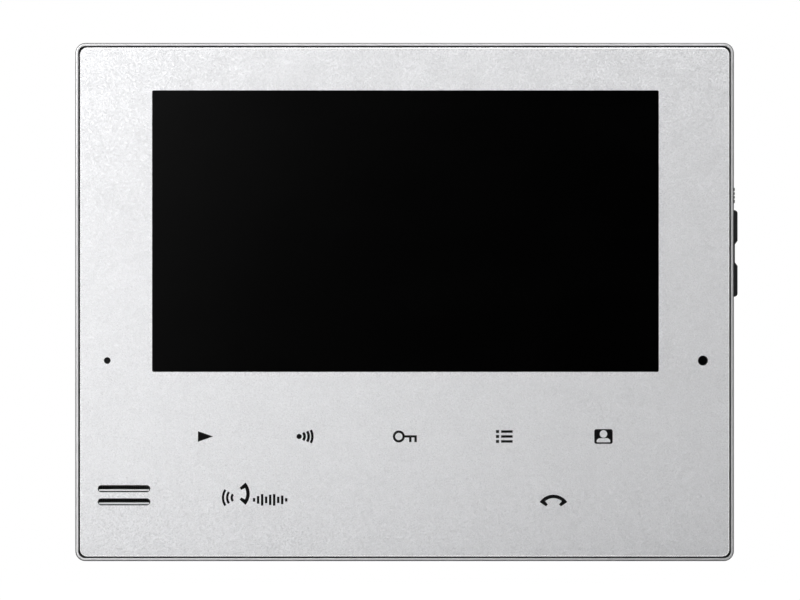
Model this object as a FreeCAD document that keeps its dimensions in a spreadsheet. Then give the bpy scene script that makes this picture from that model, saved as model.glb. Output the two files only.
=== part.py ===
"""Wall-mounted video intercom monitor, built as an assembly of separate pieces.

Frame: X runs to the right as seen from the front, Z runs up, and the wall is the plane Y = 0.
The unit stands out from the wall towards -Y. A depth is a distance ahead of the wall, so a
point 18 ahead has Y = -18. The origin is the middle of the wall plate's back face.
All sizes are in millimetres and angles in degrees.
"""

import FreeCAD, Part

import math
import os

import Sketcher
from FreeCAD import Placement, Rotation, Vector

SIZES = [
    ("unit_width", 197.0, "whole unit, side to side"),
    ("unit_height", 155.0, "whole unit, top to bottom"),
    ("unit_corner", 3.0, "corner radius of the cases"),
    ("fit_gap", 0.1, "gap between parts that slip together"),
    ("board_thick", 1.0, "thickness of every circuit board"),
    # front panel and the case face behind it
    ("panel_front", 18.0, "front of the silver panel"),
    ("panel_back", 16.8, "back of the silver panel"),
    ("panel_gap", 0.5, "shadow gap between panel and rim"),
    ("panel_chamfer", 0.25, "bright cut edge of the panel"),
    ("rim_front", 17.8, "front of the case rim around the panel"),
    ("rim_round", 0.5, "rounding of the rim's outer edge"),
    ("rim_width", 0.9, "from the side of the unit to the panel recess"),
    ("tape_back", 16.6, "back of the adhesive sheet, front of the case face"),
    ("tape_overhang", 0.4, "how far the adhesive sheet reaches into the shadow gap"),
    ("tape_hole_margin", 0.6, "how much wider the sheet's holes are than the panel's"),
    ("face_back", 15.0, "back of the front case's face"),
    ("front_wall", 2.2, "side wall of the front case"),
    ("parting", 6.0, "plane where front and rear case meet"),
    # display window
    ("window_width", 151.3, "visible glass"),
    ("window_height", 84.0, "visible glass"),
    ("window_x", 0.25, "middle of the window"),
    ("window_up", 21.2, "middle of the window"),
    ("window_corner", 0.5, "corner radius of the glass"),
    ("window_front", 17.95, "front of the glass"),
    ("window_back", 15.8, "back of the window's hidden flange"),
    ("window_flange", 3.0, "width of that flange"),
    ("window_ledge", 0.6, "how far the case opening is wider than the visible glass"),
    # display
    ("display_width", 163.0, "display module"),
    ("display_height", 97.0, "display module"),
    ("display_front", 14.5, "front of the display's metal frame"),
    ("display_back", 10.5, "back of the display's metal frame"),
    ("display_sheet", 0.3, "sheet thickness of the metal frame"),
    ("display_border", 4.5, "width of the metal frame's front border"),
    ("glass_back", 12.9, "back of the liquid crystal cell"),
    ("foam_width", 3.2, "foam strip between display and case"),
    ("foam_inset", 1.5, "from the edge of the metal frame to the foam"),
    ("display_cable_width", 30.0, "flat cable of the display"),
    ("display_cable_drop", 1.5, "how far the cable hangs below the display"),
    ("display_cable_rise", 4.5, "how far its end climbs to the socket on the main board"),
    ("flat_cable", 0.2, "thickness of flat cables"),
    # sheet metal chassis
    ("chassis_back", 9.7, "back of the chassis sheet"),
    ("chassis_side", 1.5, "how far the chassis reaches past the display"),
    ("chassis_screw_x", 89.0, "chassis screws"),
    ("chassis_screw_top", 64.0, "upper chassis screws"),
    ("chassis_screw_low", -27.0, "lower chassis screws"),
    ("ear_tall", 7.0, "height of the chassis ears"),
    ("chassis_notch", 4.0, "notch for the display cable, deeper and wider than the cable"),
    ("relief_tall", 12.125, "height of the lightening holes"),
    ("relief_pitch", 33.95, "spacing of the lightening holes"),
    ("relief_up", 4.85, "lower row of lightening holes, above the middle of the display"),
    ("relief_step", 24.25, "from the lower row of lightening holes to the upper one"),
    ("boss_round", 6.0, "screw bosses of the front case"),
    # touch keys
    ("key_pitch", 29.75, "spacing of the keys in the upper row"),
    ("key_row_up", -40.2, "upper key row"),
    ("talk_x", 44.5, "talk and off keys, left and right of the middle"),
    ("talk_up", -58.5, "lower key row"),
    ("electrode_side", 10.0, "square copper sensor field"),
    ("electrode_back", 14.9, "back of the copper, front of the touch board"),
    ("touch_width", 132.0, "touch board"),
    ("touch_low", -68.0, "lower edge of the touch board"),
    ("touch_high", -32.0, "upper edge of the touch board"),
    ("touch_notch_x", -62.8, "corner cut out beside the speaker"),
    ("touch_notch_up", -45.4, "corner cut out beside the speaker"),
    ("stake_round", 2.0, "plastic stakes that hold the small boards"),
    ("stake_head", 3.2, "melted heads of the stakes"),
    ("stake_head_thick", 0.6, "melted heads of the stakes"),
    ("touch_cable_width", 16.0, "flat cable of the touch board"),
    ("touch_cable_low", -36.9, "lower end of that cable, in its socket"),
    ("touch_cable_bend", -35.1, "where that cable passes below the display"),
    ("touch_cable_high", -33.6, "upper end of that cable, on the main board"),
    # sound slots and speaker
    ("slot_long", 15.7, "sound slot"),
    ("slot_tall", 2.1, "sound slot"),
    ("slot_x", -83.9, "middle of the sound slots"),
    ("slot_up", -57.78, "middle between the two sound slots"),
    ("slot_pitch", 3.95, "spacing of the two sound slots"),
    ("slot_rib", 0.5, "rib seen along the lower edge of each slot"),
    ("slot_rib_gap", 0.33, "shadow gap under that rib"),
    ("slot_rib_front", 17.5, "front of that rib"),
    ("speaker_x", -79.3, "speaker axis"),
    ("speaker_up", -54.5, "speaker axis"),
    ("speaker_radius", 16.0, "speaker frame"),
    ("speaker_front", 14.0, "front of the speaker frame"),
    ("gasket_inside", 14.2, "inner radius of the speaker's foam ring"),
    ("mesh_back", 14.8, "back of the speaker cloth"),
    ("magnet_front", 9.0, "front of the magnet, back of the speaker frame"),
    ("magnet_back", 5.4, "back of the magnet"),
    ("magnet_radius", 8.5, "magnet"),
    ("pole_radius", 3.2, "pole inside the voice coil"),
    ("coil_inside", 3.5, "voice coil"),
    ("coil_outside", 3.85, "voice coil"),
    ("coil_back", 8.0, "rear end of the voice coil"),
    ("magnet_bore", 4.15, "outer radius of the gap that the coil moves in"),
    ("cone_radius", 11.4, "paper cone"),
    ("cone_front", 13.4, "front edge of the cone"),
    ("cone_deep", 2.4, "from the front edge of the cone down to the coil"),
    # microphone and indicator
    ("port_x", 89.2, "microphone hole"),
    ("port_up", -17.5, "microphone hole and indicator"),
    ("port_round", 3.0, "microphone hole diameter"),
    ("capsule_round", 6.0, "microphone capsule diameter"),
    ("capsule_back", 12.2, "back of the capsule"),
    ("capsule_front", 14.4, "front of the capsule"),
    ("boot_round", 9.0, "rubber boot around the capsule"),
    ("boot_back", 11.8, "back of the boot"),
    ("lamp_x", -88.9, "indicator lamp"),
    ("lamp_round", 1.9, "light pipe diameter"),
    ("lamp_back", 12.4, "rear end of the light pipe"),
    ("lamp_flange", 1.615, "radius of the light pipe's flange"),
    ("lamp_flange_back", 13.6, "back of that flange"),
    ("lamp_board_back", 10.4, "back of the indicator board"),
    # main board
    ("board_width", 144.0, "main board"),
    ("board_height", 80.0, "main board"),
    ("board_up", 6.0, "middle of the main board"),
    ("board_back", 7.5, "back of the main board, where its parts sit"),
    ("board_screw_x", 66.0, "main board screws"),
    ("board_screw_up", 32.0, "main board screws, up and down from its middle"),
    ("can_tall", 2.2, "shield can, off the board"),
    ("can_sheet", 0.3, "sheet thickness of the shield can"),
    ("chip_tall", 1.0, "chips, off the board"),
    ("small_tall", 0.6, "small parts, off the board"),
    ("small_pitch", 2.6, "spacing of the small parts"),
    ("coil_tall", 3.6, "power coils, off the board"),
    ("socket_tall", 2.5, "cable sockets, off the board"),
    ("flat_socket_tall", 0.9, "flat cable sockets, off the front of the board"),
    ("capacitor_round", 6.3, "capacitor diameter"),
    ("capacitor_tall", 4.8, "capacitors, off the board"),
    # terminals
    ("terminal_count", 8.0, "screw terminals"),
    ("terminal_pitch", 8.2, "spacing of the terminals"),
    ("terminal_tall", 17.0, "height of the terminal block"),
    ("terminal_seat", 4.4, "where the clamps sit on the block"),
    ("terminal_back", 1.6, "back of the walls between terminals"),
    ("terminal_wall", 1.2, "walls between terminals"),
    ("clamp_thick", 0.8, "terminal clamp plates"),
    ("clamp_tall", 8.06, "terminal clamp plates"),
    ("clamp_gap", 0.4, "gap between a clamp plate and the walls beside it"),
    ("terminal_screw_reach", 3.6, "terminal screws, below their heads"),
    # side keys
    ("side_ahead", 10.6, "middle of the side keys, ahead of the wall"),
    ("rocker_up", 14.6, "volume rocker pivot"),
    ("rocker_long", 26.0, "volume rocker"),
    ("rocker_wide", 4.4, "volume rocker, front to back"),
    ("rocker_proud", 1.5, "rocker pads, past the side of the unit"),
    ("rocker_dip_proud", 0.7, "low middle of the rocker, past the side of the unit"),
    ("rocker_dip", 5.4, "length of the low middle"),
    ("rocker_slope", 1.1, "length of the slope up to each pad"),
    ("rocker_round", 1.0, "rounding of the rocker's ends"),
    ("rocker_gap", 0.3, "gap between rocker and case"),
    ("rocker_beam_x", 95.4, "inner face of the rocker's beam"),
    ("pivot_x", 94.9, "pivot pin axis"),
    ("pin_round", 1.2, "pivot pin diameter"),
    ("pin_gap", 0.05, "radial running clearance on the pin"),
    ("hub_round", 3.2, "rocker hub around the pin"),
    ("ear_margin", 0.8, "how much taller the ears that hold the pin are than the hub"),
    ("nub_reach", 8.5, "nubs that press the switches, from the pivot"),
    ("nub_side", 1.8, "nub width"),
    ("nub_tip_x", 91.65, "end of each nub"),
    ("plunger_tip_x", 91.6, "end of each switch plunger"),
    ("plunger_back_x", 89.8, "inner end of each plunger"),
    ("plunger_round", 1.8, "plunger diameter"),
    ("switch_left", 87.0, "inner end of the volume switches"),
    ("switch_tall", 6.4, "volume switches, up and down"),
    ("mark_long", 2.0, "strokes of the plus and minus marks"),
    ("mark_wide", 0.4, "strokes of the plus and minus marks"),
    ("mark_deep", 0.15, "depth of the plus and minus marks"),
    ("knob_up", 32.05, "middle of the power slide at rest"),
    ("knob_long", 4.5, "power slide"),
    ("knob_wide", 2.2, "power slide, front to back"),
    ("knob_proud", 0.75, "power slide, past the side of the unit"),
    ("knob_travel", 1.5, "power slide travel, upwards"),
    ("knob_groove", 0.35, "finger grooves across the power slide"),
    ("knob_plate", 1.0, "thickness of the slide's plate inside the case"),
    ("knob_plate_margin", 0.9, "how far that plate reaches past the slide at each end"),
    ("knob_plate_up", 0.2, "how far above the slide's middle that plate sits"),
    ("tongue_end", 89.8, "inner end of the slide's tongue"),
    ("tongue_tall", 1.6, "tongue, up and down"),
    ("tongue_thick", 0.9, "tongue, front to back"),
    ("tongue_gap", 0.4, "gap around the tongue in the switch"),
    ("slider_left", 86.5, "slide switch"),
    ("slider_right", 91.0, "slide switch"),
    ("slider_low", 28.4, "slide switch"),
    ("slider_high", 38.0, "slide switch"),
    ("slider_tall", 4.0, "slide switch, off the board"),
    ("slider_play", 0.3, "from the end of the tongue to the floor of the switch's groove"),
    ("side_board_left", 84.5, "side key board"),
    ("side_board_right", 93.0, "side key board"),
    ("side_board_low", -2.0, "side key board"),
    ("side_board_high", 39.0, "side key board"),
    ("side_board_back", 7.6, "back of the side key board"),
    ("side_cable_start", 69.6, "end of the side key cable, in its socket on the main board"),
    ("side_cable_inset", 1.5, "from the edge of the side key board to the cable's bend"),
    ("side_cable_ahead", 6.4, "where that cable runs, ahead of the wall"),
    ("side_cable_low", -7.5, "lower edge of that cable"),
    ("side_cable_high", 2.5, "upper edge of that cable"),
    # rear case
    ("rear_face", 0.2, "back of the rear case"),
    ("rear_skin", 2.0, "inside of its back, and thickness of its side wall"),
    ("rear_round", 1.4, "rounding of its back edge"),
    ("lip_outer", 1.35, "from the side of the unit to the joining lip"),
    ("lip_thick", 0.75, "joining lip"),
    ("lip_front", 7.2, "front of the joining lip"),
    ("recess_width", 116.0, "recess for the wall plate"),
    ("recess_height", 111.0, "recess for the wall plate"),
    ("recess_up", -2.5, "middle of the recess"),
    ("recess_corner", 4.0, "corner radius of the recess"),
    ("recess_floor", 2.8, "back of the recess floor"),
    ("recess_inside", 4.4, "front of the recess floor"),
    ("recess_wall", 1.6, "wall around the recess"),
    ("hatch_width", 71.6, "opening in the recess for the cables and terminals"),
    ("hatch_height", 33.0, "opening in the recess for the cables and terminals"),
    ("hatch_up", -5.5, "middle of that opening"),
    ("case_screw_x", 91.0, "case screws at the corners"),
    ("case_screw_up", 70.5, "case screws at the corners"),
    ("case_screw_low", -72.0, "case screw at the bottom middle"),
    ("case_screw_seat", 3.2, "where the screw heads sit"),
    ("well_round", 6.2, "screw wells"),
    ("tube_round", 8.0, "screw tubes"),
    ("vent_wide", 1.6, "cooling slots"),
    ("vent_tall", 11.0, "cooling slots"),
    ("vent_pitch", 6.0, "spacing of the cooling slots"),
    ("vent_up", 63.5, "upper cooling slots"),
    ("vent_low", -66.5, "lower cooling slots"),
    # screws
    ("case_screw_reach", 9.5, "case screws, below their heads"),
    ("chassis_screw_reach", 4.5, "chassis screws, below their heads"),
    ("board_screw_reach", 2.8, "main board screws, below their heads"),
    ("screw_head", 5.4, "screw head diameter"),
    ("screw_head_thick", 1.5, "screw head"),
    ("screw_shank", 2.5, "screw shank diameter"),
    ("screw_pilot", 2.6, "screw hole in plastic"),
    ("screw_pass", 3.0, "hole that a screw passes through"),
    ("drive_long", 2.8, "cross recess"),
    ("drive_wide", 0.7, "cross recess"),
    ("drive_deep", 0.9, "cross recess"),
    # wall plate
    ("plate_width", 110.0, "wall plate"),
    ("plate_height", 104.0, "wall plate"),
    ("plate_thick", 1.2, "sheet thickness"),
    ("plate_corner", 4.0, "corner radius"),
    ("wiring_width", 80.0, "opening for the cables"),
    ("wiring_height", 52.0, "opening for the cables"),
    ("wiring_up", -2.0, "middle of that opening"),
    ("wiring_corner", 3.0, "corner radius of that opening"),
    ("box_pitch", 83.5, "switch box screw spacing"),
    ("box_slot_long", 9.0, "slot for a switch box screw"),
    ("box_slot_wide", 4.3, "slot for a switch box screw"),
    ("wall_hole_x", 48.5, "wall screw holes"),
    ("wall_hole_up", 45.0, "wall screw holes"),
    ("wall_hole_round", 4.2, "wall screw holes"),
    ("hook_x", 47.5, "hooks"),
    ("hook_wide", 9.0, "hooks"),
    ("hook_high", 22.0, "bend line of the upper hooks"),
    ("hook_low", -34.0, "bend line of the lower hooks"),
    ("hook_finger", 5.4, "hook height from its bend line"),
    ("hook_front", 6.0, "front of the hook's finger"),
    ("hook_blank", 9.8, "height of the window that the hook is bent out of"),
    ("hook_gap", 0.05, "gap between hook and case at rest"),
    ("hook_slack", 0.7, "room left under each hook when the unit is lifted"),
    ("hook_play", 1.0, "how much wider each hook's slot is than the hook"),
    ("lift", 4.5, "how far the unit lifts to come off the hooks"),
]

FRONT, SIDE, PLAN = "XZ_Plane", "YZ_Plane", "XY_Plane"
BOTH = (-1, 1)
LOOSE = 1e-3

doc = FreeCAD.newDocument("intercom_monitor")
nodes = []


# ---------------------------------------------------------------- driving dimensions


class Size:
    """A length, with its number and the spreadsheet expression that gives it."""

    def __init__(self, value, text):
        self.value = value
        self.text = text

    def __add__(self, other):
        other = size(other)
        return Size(self.value + other.value, f"({self.text} + {other.text})")

    def __sub__(self, other):
        other = size(other)
        return Size(self.value - other.value, f"({self.text} - {other.text})")

    def __mul__(self, factor):
        factor = size(factor)
        return Size(self.value * factor.value, f"({self.text} * {factor.text})")

    def __truediv__(self, factor):
        factor = size(factor)
        return Size(self.value / factor.value, f"({self.text} / {factor.text})")

    def __neg__(self):
        return Size(-self.value, f"(0 - {self.text})")

    def __rsub__(self, other):
        return size(other) - self

    __radd__ = __add__
    __rmul__ = __mul__


def size(amount):
    """A plain number as a Size, and a Size as it is."""
    if isinstance(amount, Size):
        return amount
    text = f"{abs(amount):.6f}"
    return Size(float(amount), f"(0 - {text})" if amount < 0 else text)


class Sheet:
    """The spreadsheet of driving dimensions: sheet.unit_width is that cell as a Size."""

    def __init__(self, rows):
        cells = doc.addObject("Spreadsheet::Sheet", "sizes")
        for row, (alias, value, meaning) in enumerate(rows, 1):
            cells.set(f"A{row}", alias)
            cells.set(f"B{row}", str(value))
            cells.set(f"C{row}", meaning)
            cells.setAlias(f"B{row}", alias)
            setattr(self, alias, Size(value, f"sizes.{alias}"))
        doc.recompute()


s = Sheet(SIZES)


# ---------------------------------------------------------------- outlines for sketches


def bind(sketch, kind, *where, to):
    """Adds a dimension to a sketch and ties it to the spreadsheet."""
    to = size(to)
    index = sketch.addConstraint(Sketcher.Constraint(kind, *where, to.value))
    sketch.renameConstraint(index, f"size{index}")
    sketch.setExpression(f"Constraints.size{index}", to.text)


def pin(sketch, geometry, point, x, up):
    """Ties a point of a sketch to its place."""
    bind(sketch, "DistanceX", -1, 1, geometry, point, to=x)
    bind(sketch, "DistanceY", -1, 1, geometry, point, to=up)


def circle(diameter, x=0.0, up=0.0):
    """A circle about (x, up)."""
    diameter, x, up = size(diameter), size(x), size(up)

    def draw(sketch):
        centre = Vector(x.value, up.value, 0)
        ring = sketch.addGeometry(Part.Circle(centre, Vector(0, 0, 1), diameter.value / 2), False)
        bind(sketch, "Diameter", ring, to=diameter)
        pin(sketch, ring, 3, x, up)

    return draw


def polygon(points):
    """A closed outline through points, each one a pair of sizes."""
    points = [(size(x), size(up)) for x, up in points]

    def draw(sketch):
        corners = [Vector(x.value, up.value, 0) for x, up in points]
        ends = zip(corners, corners[1:] + corners[:1])
        lines = [sketch.addGeometry(Part.LineSegment(a, b), False) for a, b in ends]
        for n, (x, up) in enumerate(points):
            sketch.addConstraint(Sketcher.Constraint("Coincident", lines[n - 1], 2, lines[n], 1))
            pin(sketch, lines[n], 1, x, up)

    return draw


def plain_rectangle(width, height, x=0.0, up=0.0):
    """A rectangle with sharp corners, centred on (x, up)."""
    width, height, x, up = size(width), size(height), size(x), size(up)
    left, right = x - width / 2, x + width / 2
    low, high = up - height / 2, up + height / 2
    return polygon([(left, low), (right, low), (right, high), (left, high)])


def rectangle(width, height, x=0.0, up=0.0, corner=1.0):
    """A rectangle with rounded corners, centred on (x, up)."""
    width, height, x, up = size(width), size(height), size(x), size(up)
    corner = size(corner)

    def draw(sketch):
        r = corner.value
        inner_x = (x.value + width.value / 2 - r, x.value - width.value / 2 + r)
        inner_up = (up.value - height.value / 2 + r, up.value + height.value / 2 - r)
        centres = [Vector(inner_x[n // 2], inner_up[n in (1, 2)], 0) for n in range(4)]
        arcs, lines = [], []
        for n, centre in enumerate(centres):
            start = (n - 1) * math.pi / 2
            whole = Part.Circle(centre, Vector(0, 0, 1), r)
            arcs.append(Part.ArcOfCircle(whole, start, start + math.pi / 2))
        for n, arc in enumerate(arcs):
            following = arcs[(n + 1) % 4]
            lines.append(Part.LineSegment(arc.EndPoint, following.StartPoint))
        arcs = [sketch.addGeometry(arc, False) for arc in arcs]
        lines = [sketch.addGeometry(line, False) for line in lines]
        for n in range(4):
            sketch.addConstraint(Sketcher.Constraint("Tangent", arcs[n], 2, lines[n], 1))
            sketch.addConstraint(Sketcher.Constraint("Tangent", lines[n], 2, arcs[(n + 1) % 4], 1))
            level = "Horizontal" if n % 2 else "Vertical"
            sketch.addConstraint(Sketcher.Constraint(level, lines[n]))
        for n in (1, 2, 3):
            sketch.addConstraint(Sketcher.Constraint("Equal", arcs[0], arcs[n]))
        bind(sketch, "Radius", arcs[0], to=corner)
        bind(sketch, "DistanceX", arcs[3], 3, arcs[0], 3, to=width - 2 * corner)
        bind(sketch, "DistanceY", arcs[0], 3, arcs[1], 3, to=height - 2 * corner)
        pin(sketch, arcs[3], 3, x - width / 2 + corner, up - height / 2 + corner)

    return draw


def stadium(width, height, x=0.0, up=0.0):
    """A slot with round ends, centred on (x, up), lying or standing by its longer side."""
    width, height, x, up = size(width), size(height), size(x), size(up)
    standing = height.value > width.value
    across = width if standing else height
    reach = (height - width) / 2 if standing else (width - height) / 2
    far = (x, up + reach) if standing else (x + reach, up)
    near = (x, up - reach) if standing else (x - reach, up)
    first = 0.0 if standing else -math.pi / 2

    def draw(sketch):
        arcs = []
        for turn, centre in enumerate((far, near)):
            start = first + turn * math.pi
            whole = Part.Circle(
                Vector(centre[0].value, centre[1].value, 0), Vector(0, 0, 1), across.value / 2
            )
            arcs.append(Part.ArcOfCircle(whole, start, start + math.pi))
        sides = [Part.LineSegment(arcs[n].EndPoint, arcs[1 - n].StartPoint) for n in (0, 1)]
        arcs = [sketch.addGeometry(arc, False) for arc in arcs]
        sides = [sketch.addGeometry(side, False) for side in sides]
        for n in (0, 1):
            sketch.addConstraint(Sketcher.Constraint("Tangent", arcs[n], 2, sides[n], 1))
            sketch.addConstraint(Sketcher.Constraint("Tangent", sides[n], 2, arcs[1 - n], 1))
        sketch.addConstraint(Sketcher.Constraint("Equal", arcs[0], arcs[1]))
        bind(sketch, "Diameter", arcs[0], to=across)
        pin(sketch, arcs[0], 3, *far)
        pin(sketch, arcs[1], 3, *near)

    return draw


def cross(length, bar, x=0.0, up=0.0):
    """An upright cross of two equal bars."""
    far, near, x, up = size(length) / 2, size(bar) / 2, size(x), size(up)
    quarter = [(far, -near), (far, near), (near, near)]
    points = []
    for turn in range(4):
        for a, b in quarter:
            place = [(a, b), (-b, a), (-a, -b), (b, -a)][turn]
            points.append((x + place[0], up + place[1]))
    return polygon(points)


# ---------------------------------------------------------------- features


def piece(name):
    """A body for one node."""
    body = doc.addObject("PartDesign::Body", name)
    body.Label = name
    body.AllowCompound = True
    nodes.append(body)
    return body


def origin_part(body, role):
    """One of a body's own origin planes or axes."""
    return next(part for part in body.Origin.OriginFeatures if part.Role == role)


def sketch_in(body, plane, outlines, along=0.0, across=0.0):
    """A sketch on an origin plane, moved out along its normal and sideways in X."""
    sketch = body.newObject("Sketcher::SketchObject", "Outline")
    sketch.AttachmentSupport = [(origin_part(body, plane), "")]
    sketch.MapMode = "FlatFace"
    sketch.setExpression("AttachmentOffset.Base.z", size(along).text)
    sketch.setExpression("AttachmentOffset.Base.x", size(across).text)
    for draw in outlines if isinstance(outlines, list) else [outlines]:
        draw(sketch)
    return sketch


def pad(body, outlines, start, end, plane=FRONT):
    """Material between two distances along the plane's normal."""
    start, end = size(start), size(end)
    feature = body.newObject("PartDesign::Pad", "Pad")
    feature.Profile = sketch_in(body, plane, outlines, start)
    feature.setExpression("Length", (end - start).text)
    doc.recompute()


def cut(body, outlines, start, end, plane=FRONT):
    """A pocket between two distances, cut from the far one back towards the near one."""
    start, end = size(start), size(end)
    before = body.Shape.Volume
    feature = body.newObject("PartDesign::Pocket", "Pocket")
    feature.Profile = sketch_in(body, plane, outlines, end)
    feature.Reversed = False
    feature.setExpression("Length", (end - start).text)
    doc.recompute()
    if body.Shape.Volume > before - LOOSE:
        raise RuntimeError(f"{body.Label}: {feature.Name} removes nothing")


def repeat(body, spacing, count, axis="X_Axis"):
    """Repeats the body's last feature in an evenly spaced row."""
    last = body.Tip
    pattern = body.newObject("PartDesign::LinearPattern", "Row")
    pattern.Originals = [last]
    pattern.Direction = (origin_part(body, axis), [""])
    pattern.setExpression("Length", (spacing * (count - 1)).text)
    pattern.Occurrences = count
    body.Tip = pattern
    doc.recompute()


def spin(body, profile, x=0.0, up=0.0):
    """A turned piece about a front-to-back axis; the profile is pairs of radius and depth."""
    outline = polygon([(radius, -size(ahead)) for radius, ahead in profile])
    sketch = sketch_in(body, PLAN, outline, up, x)
    feature = body.newObject("PartDesign::Revolution", "Revolution")
    feature.Profile = sketch
    feature.ReferenceAxis = (sketch, ["V_Axis"])
    feature.Angle = 360
    doc.recompute()


def soften(body, kind, amount, wanted):
    """Fillets or chamfers the edges that wanted(edge) picks out."""
    base = body.Tip
    names = [f"Edge{n}" for n, edge in enumerate(base.Shape.Edges, 1) if wanted(edge)]
    feature = body.newObject(f"PartDesign::{kind}", kind)
    feature.Base = (base, names)
    feature.setExpression("Radius" if kind == "Fillet" else "Size", size(amount).text)
    doc.recompute()


def rim_edges(width, height, ahead):
    """Picks the outer edges of a centred plate at one depth."""
    half_x, half_up, y = width.value / 2, height.value / 2, -ahead.value

    def wanted(edge):
        for vertex in edge.Vertexes:
            at_side = abs(abs(vertex.X) - half_x) < LOOSE or abs(abs(vertex.Z) - half_up) < LOOSE
            if not at_side or abs(vertex.Y - y) > LOOSE:
                return False
        return True

    return wanted


def edges_at(x, up):
    """Picks the front-to-back edges at one place."""

    def wanted(edge):
        ends = [(vertex.X, vertex.Z) for vertex in edge.Vertexes]
        return all(abs(end[0] - x.value) < LOOSE and abs(end[1] - up.value) < LOOSE for end in ends)

    return wanted


def rod(name, diameter, start, length, turn):
    """A round rod from a start point (x, y, z) along the axis that turn gives it."""
    shape = doc.addObject("Part::Cylinder", name)
    shape.setExpression("Radius", (size(diameter) / 2).text)
    shape.setExpression("Height", size(length).text)
    shape.Placement = Placement(Vector(), turn)
    for axis, place in zip("xyz", start):
        shape.setExpression(f"Placement.Base.{axis}", size(place).text)
    return shape


def block(name, x, up, ahead):
    """A box between pairs of sizes."""
    shape = doc.addObject("Part::Box", name)
    shape.setExpression("Length", (size(x[1]) - size(x[0])).text)
    shape.setExpression("Height", (size(up[1]) - size(up[0])).text)
    shape.setExpression("Width", (size(ahead[1]) - size(ahead[0])).text)
    for axis, place in zip("xyz", (x[0], -size(ahead[1]), up[0])):
        shape.setExpression(f"Placement.Base.{axis}", size(place).text)
    return shape


def as_node(shape, name):
    """Marks a finished shape as one node."""
    shape.Label = name
    nodes.append(shape)
    return shape


def wires(name, path, thickness=0.8, spread=1.1):
    """A pair of round leads along a smooth path of (x, up, ahead) points."""
    runs = []
    for side in BOTH:
        points = [Vector(x, -ahead, up + side * spread / 2) for x, up, ahead in path]
        curve = Part.BSplineCurve()
        curve.interpolate(points)
        spine = Part.Wire(curve.toShape())
        start = curve.tangent(curve.FirstParameter)[0]
        profile = Part.Wire(Part.makeCircle(thickness / 2, points[0], start))
        runs.append(spine.makePipeShell([profile], True, True))
    shape = doc.addObject("Part::Feature", name)
    shape.Shape = Part.makeCompound(runs)
    shape.Placement = Placement()
    return as_node(shape, name)


def screw(body, x, up, seat, reach):
    """A pan head screw driven from behind: its head sits at seat and its tip reaches forward."""
    head, shank = s.screw_head / 2, s.screw_shank / 2
    seat, crown = size(seat), s.screw_head_thick / 3
    back = seat - s.screw_head_thick
    tip = seat + reach
    spin(
        body,
        [
            (0, back),
            (head - crown, back),
            (head, back + crown),
            (head, seat),
            (shank, seat),
            (shank, tip - shank),
            (0, tip),
        ],
        x,
        up,
    )


def screws(name, places, seat, reach):
    """A set of equal screws with cross recesses, one node."""
    body = piece(name)
    for x, up in places:
        screw(body, x, up, seat, reach)
    back = size(seat) - s.screw_head_thick
    for x, up in places:
        cut(body, cross(s.drive_long, s.drive_wide, x, up), back, back + s.drive_deep)
    return body


# ---------------------------------------------------------------- places used more than once


CORNERS = [(1, 1), (-1, 1), (-1, -1), (1, -1)]
CASE_SCREWS = [(s.case_screw_x * a, s.case_screw_up * b) for a, b in CORNERS]
CASE_SCREWS.append((size(0), s.case_screw_low))
CHASSIS_HEIGHTS = (s.chassis_screw_top, s.chassis_screw_low)
CHASSIS_SCREWS = [(s.chassis_screw_x * a, up) for a in BOTH for up in CHASSIS_HEIGHTS]
BOARD_SCREWS = [(s.board_screw_x * a, s.board_up + s.board_screw_up * b) for a, b in CORNERS]
SLOTS = [s.slot_up + s.slot_pitch / 2 * b for b in BOTH]
KEYS = [(s.key_pitch * n, s.key_row_up) for n in (-2, -1, 0, 1, 2)]
KEYS += [(s.talk_x * a, s.talk_up) for a in BOTH]
HOOKS = [(s.hook_x * a, up) for a in BOTH for up in (s.hook_high, s.hook_low)]
NUBS = [s.rocker_up + s.nub_reach, s.rocker_up - s.nub_reach]
TOUCH_STAKES = [(35, -49), (-35, -49), (57, -64), (-57, -64)]
LAMP_STAKES = [(-91.4, -9), (-86.8, -20.9)]
SIDE_STAKES = [(88, 0.2), (88, 14.6)]

# Parts on the circuit boards, each (width, height, x, up).
TOUCH_CHIP = (7, 7, -20, -54)
TOUCH_SOCKET = (20, 3, 0, -38.5)
SHIELD_CAN = (28, 24, -21, 29)
SHIELD_CAN_INSIDE = (27.4, 23.4, -21, 29)
CHIPS = [
    (12, 12, 16, 27),
    (9, 11, 31, 27),
    (5, 4, 4, 38),
    (6, 5, 6, 16),
    (7, 7, -24, -27),
    (5, 4, 16, -27),
]
COILS = [(6, 6, 66, 18), (6, 6, 66, 9)]
LEAD_SOCKETS = [(5, 7, -67, -18), (5, 7, -67, -6), (5, 7, 67, -16), (5, 7, 67, -5)]
FLAT_SOCKETS = [(20, 2.6, 0, -32.1), (34, 3.6, 0, -22.1)]
LAMP_BOARD = (9.4, 16, -89.2, -14.9)
CAPACITORS = [(-66, 22), (-66, 13), (-66, 4)]

# Rows of small parts: size of the first part, its place, how many there are and which way they run.
SMALL_ROWS = [
    ((1.6, 0.8), (6, 42), 12, "X_Axis"),
    ((1.6, 0.8), (-14, -31), 9, "X_Axis"),
    ((0.8, 1.6), (38.5, 20), 7, "Z_Axis"),
]

# Middle lines of the leads, as (x, up, ahead) from the part to its socket.
SPEAKER_LEADS = [
    (-65.8, -47, 12.8),
    (-68, -42, 10.5),
    (-74.5, -34, 7.5),
    (-74, -26, 6.2),
    (-70, -18, 6.2),
]
MICROPHONE_LEADS = [(89.2, -17.5, 11.6), (86, -17.5, 8), (78, -16, 6.2), (70, -16, 6.2)]
INDICATOR_LEADS = [(-87, -12, 9.9), (-82, -10, 7), (-76, -7, 6.2), (-70, -6, 6.2)]

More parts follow.
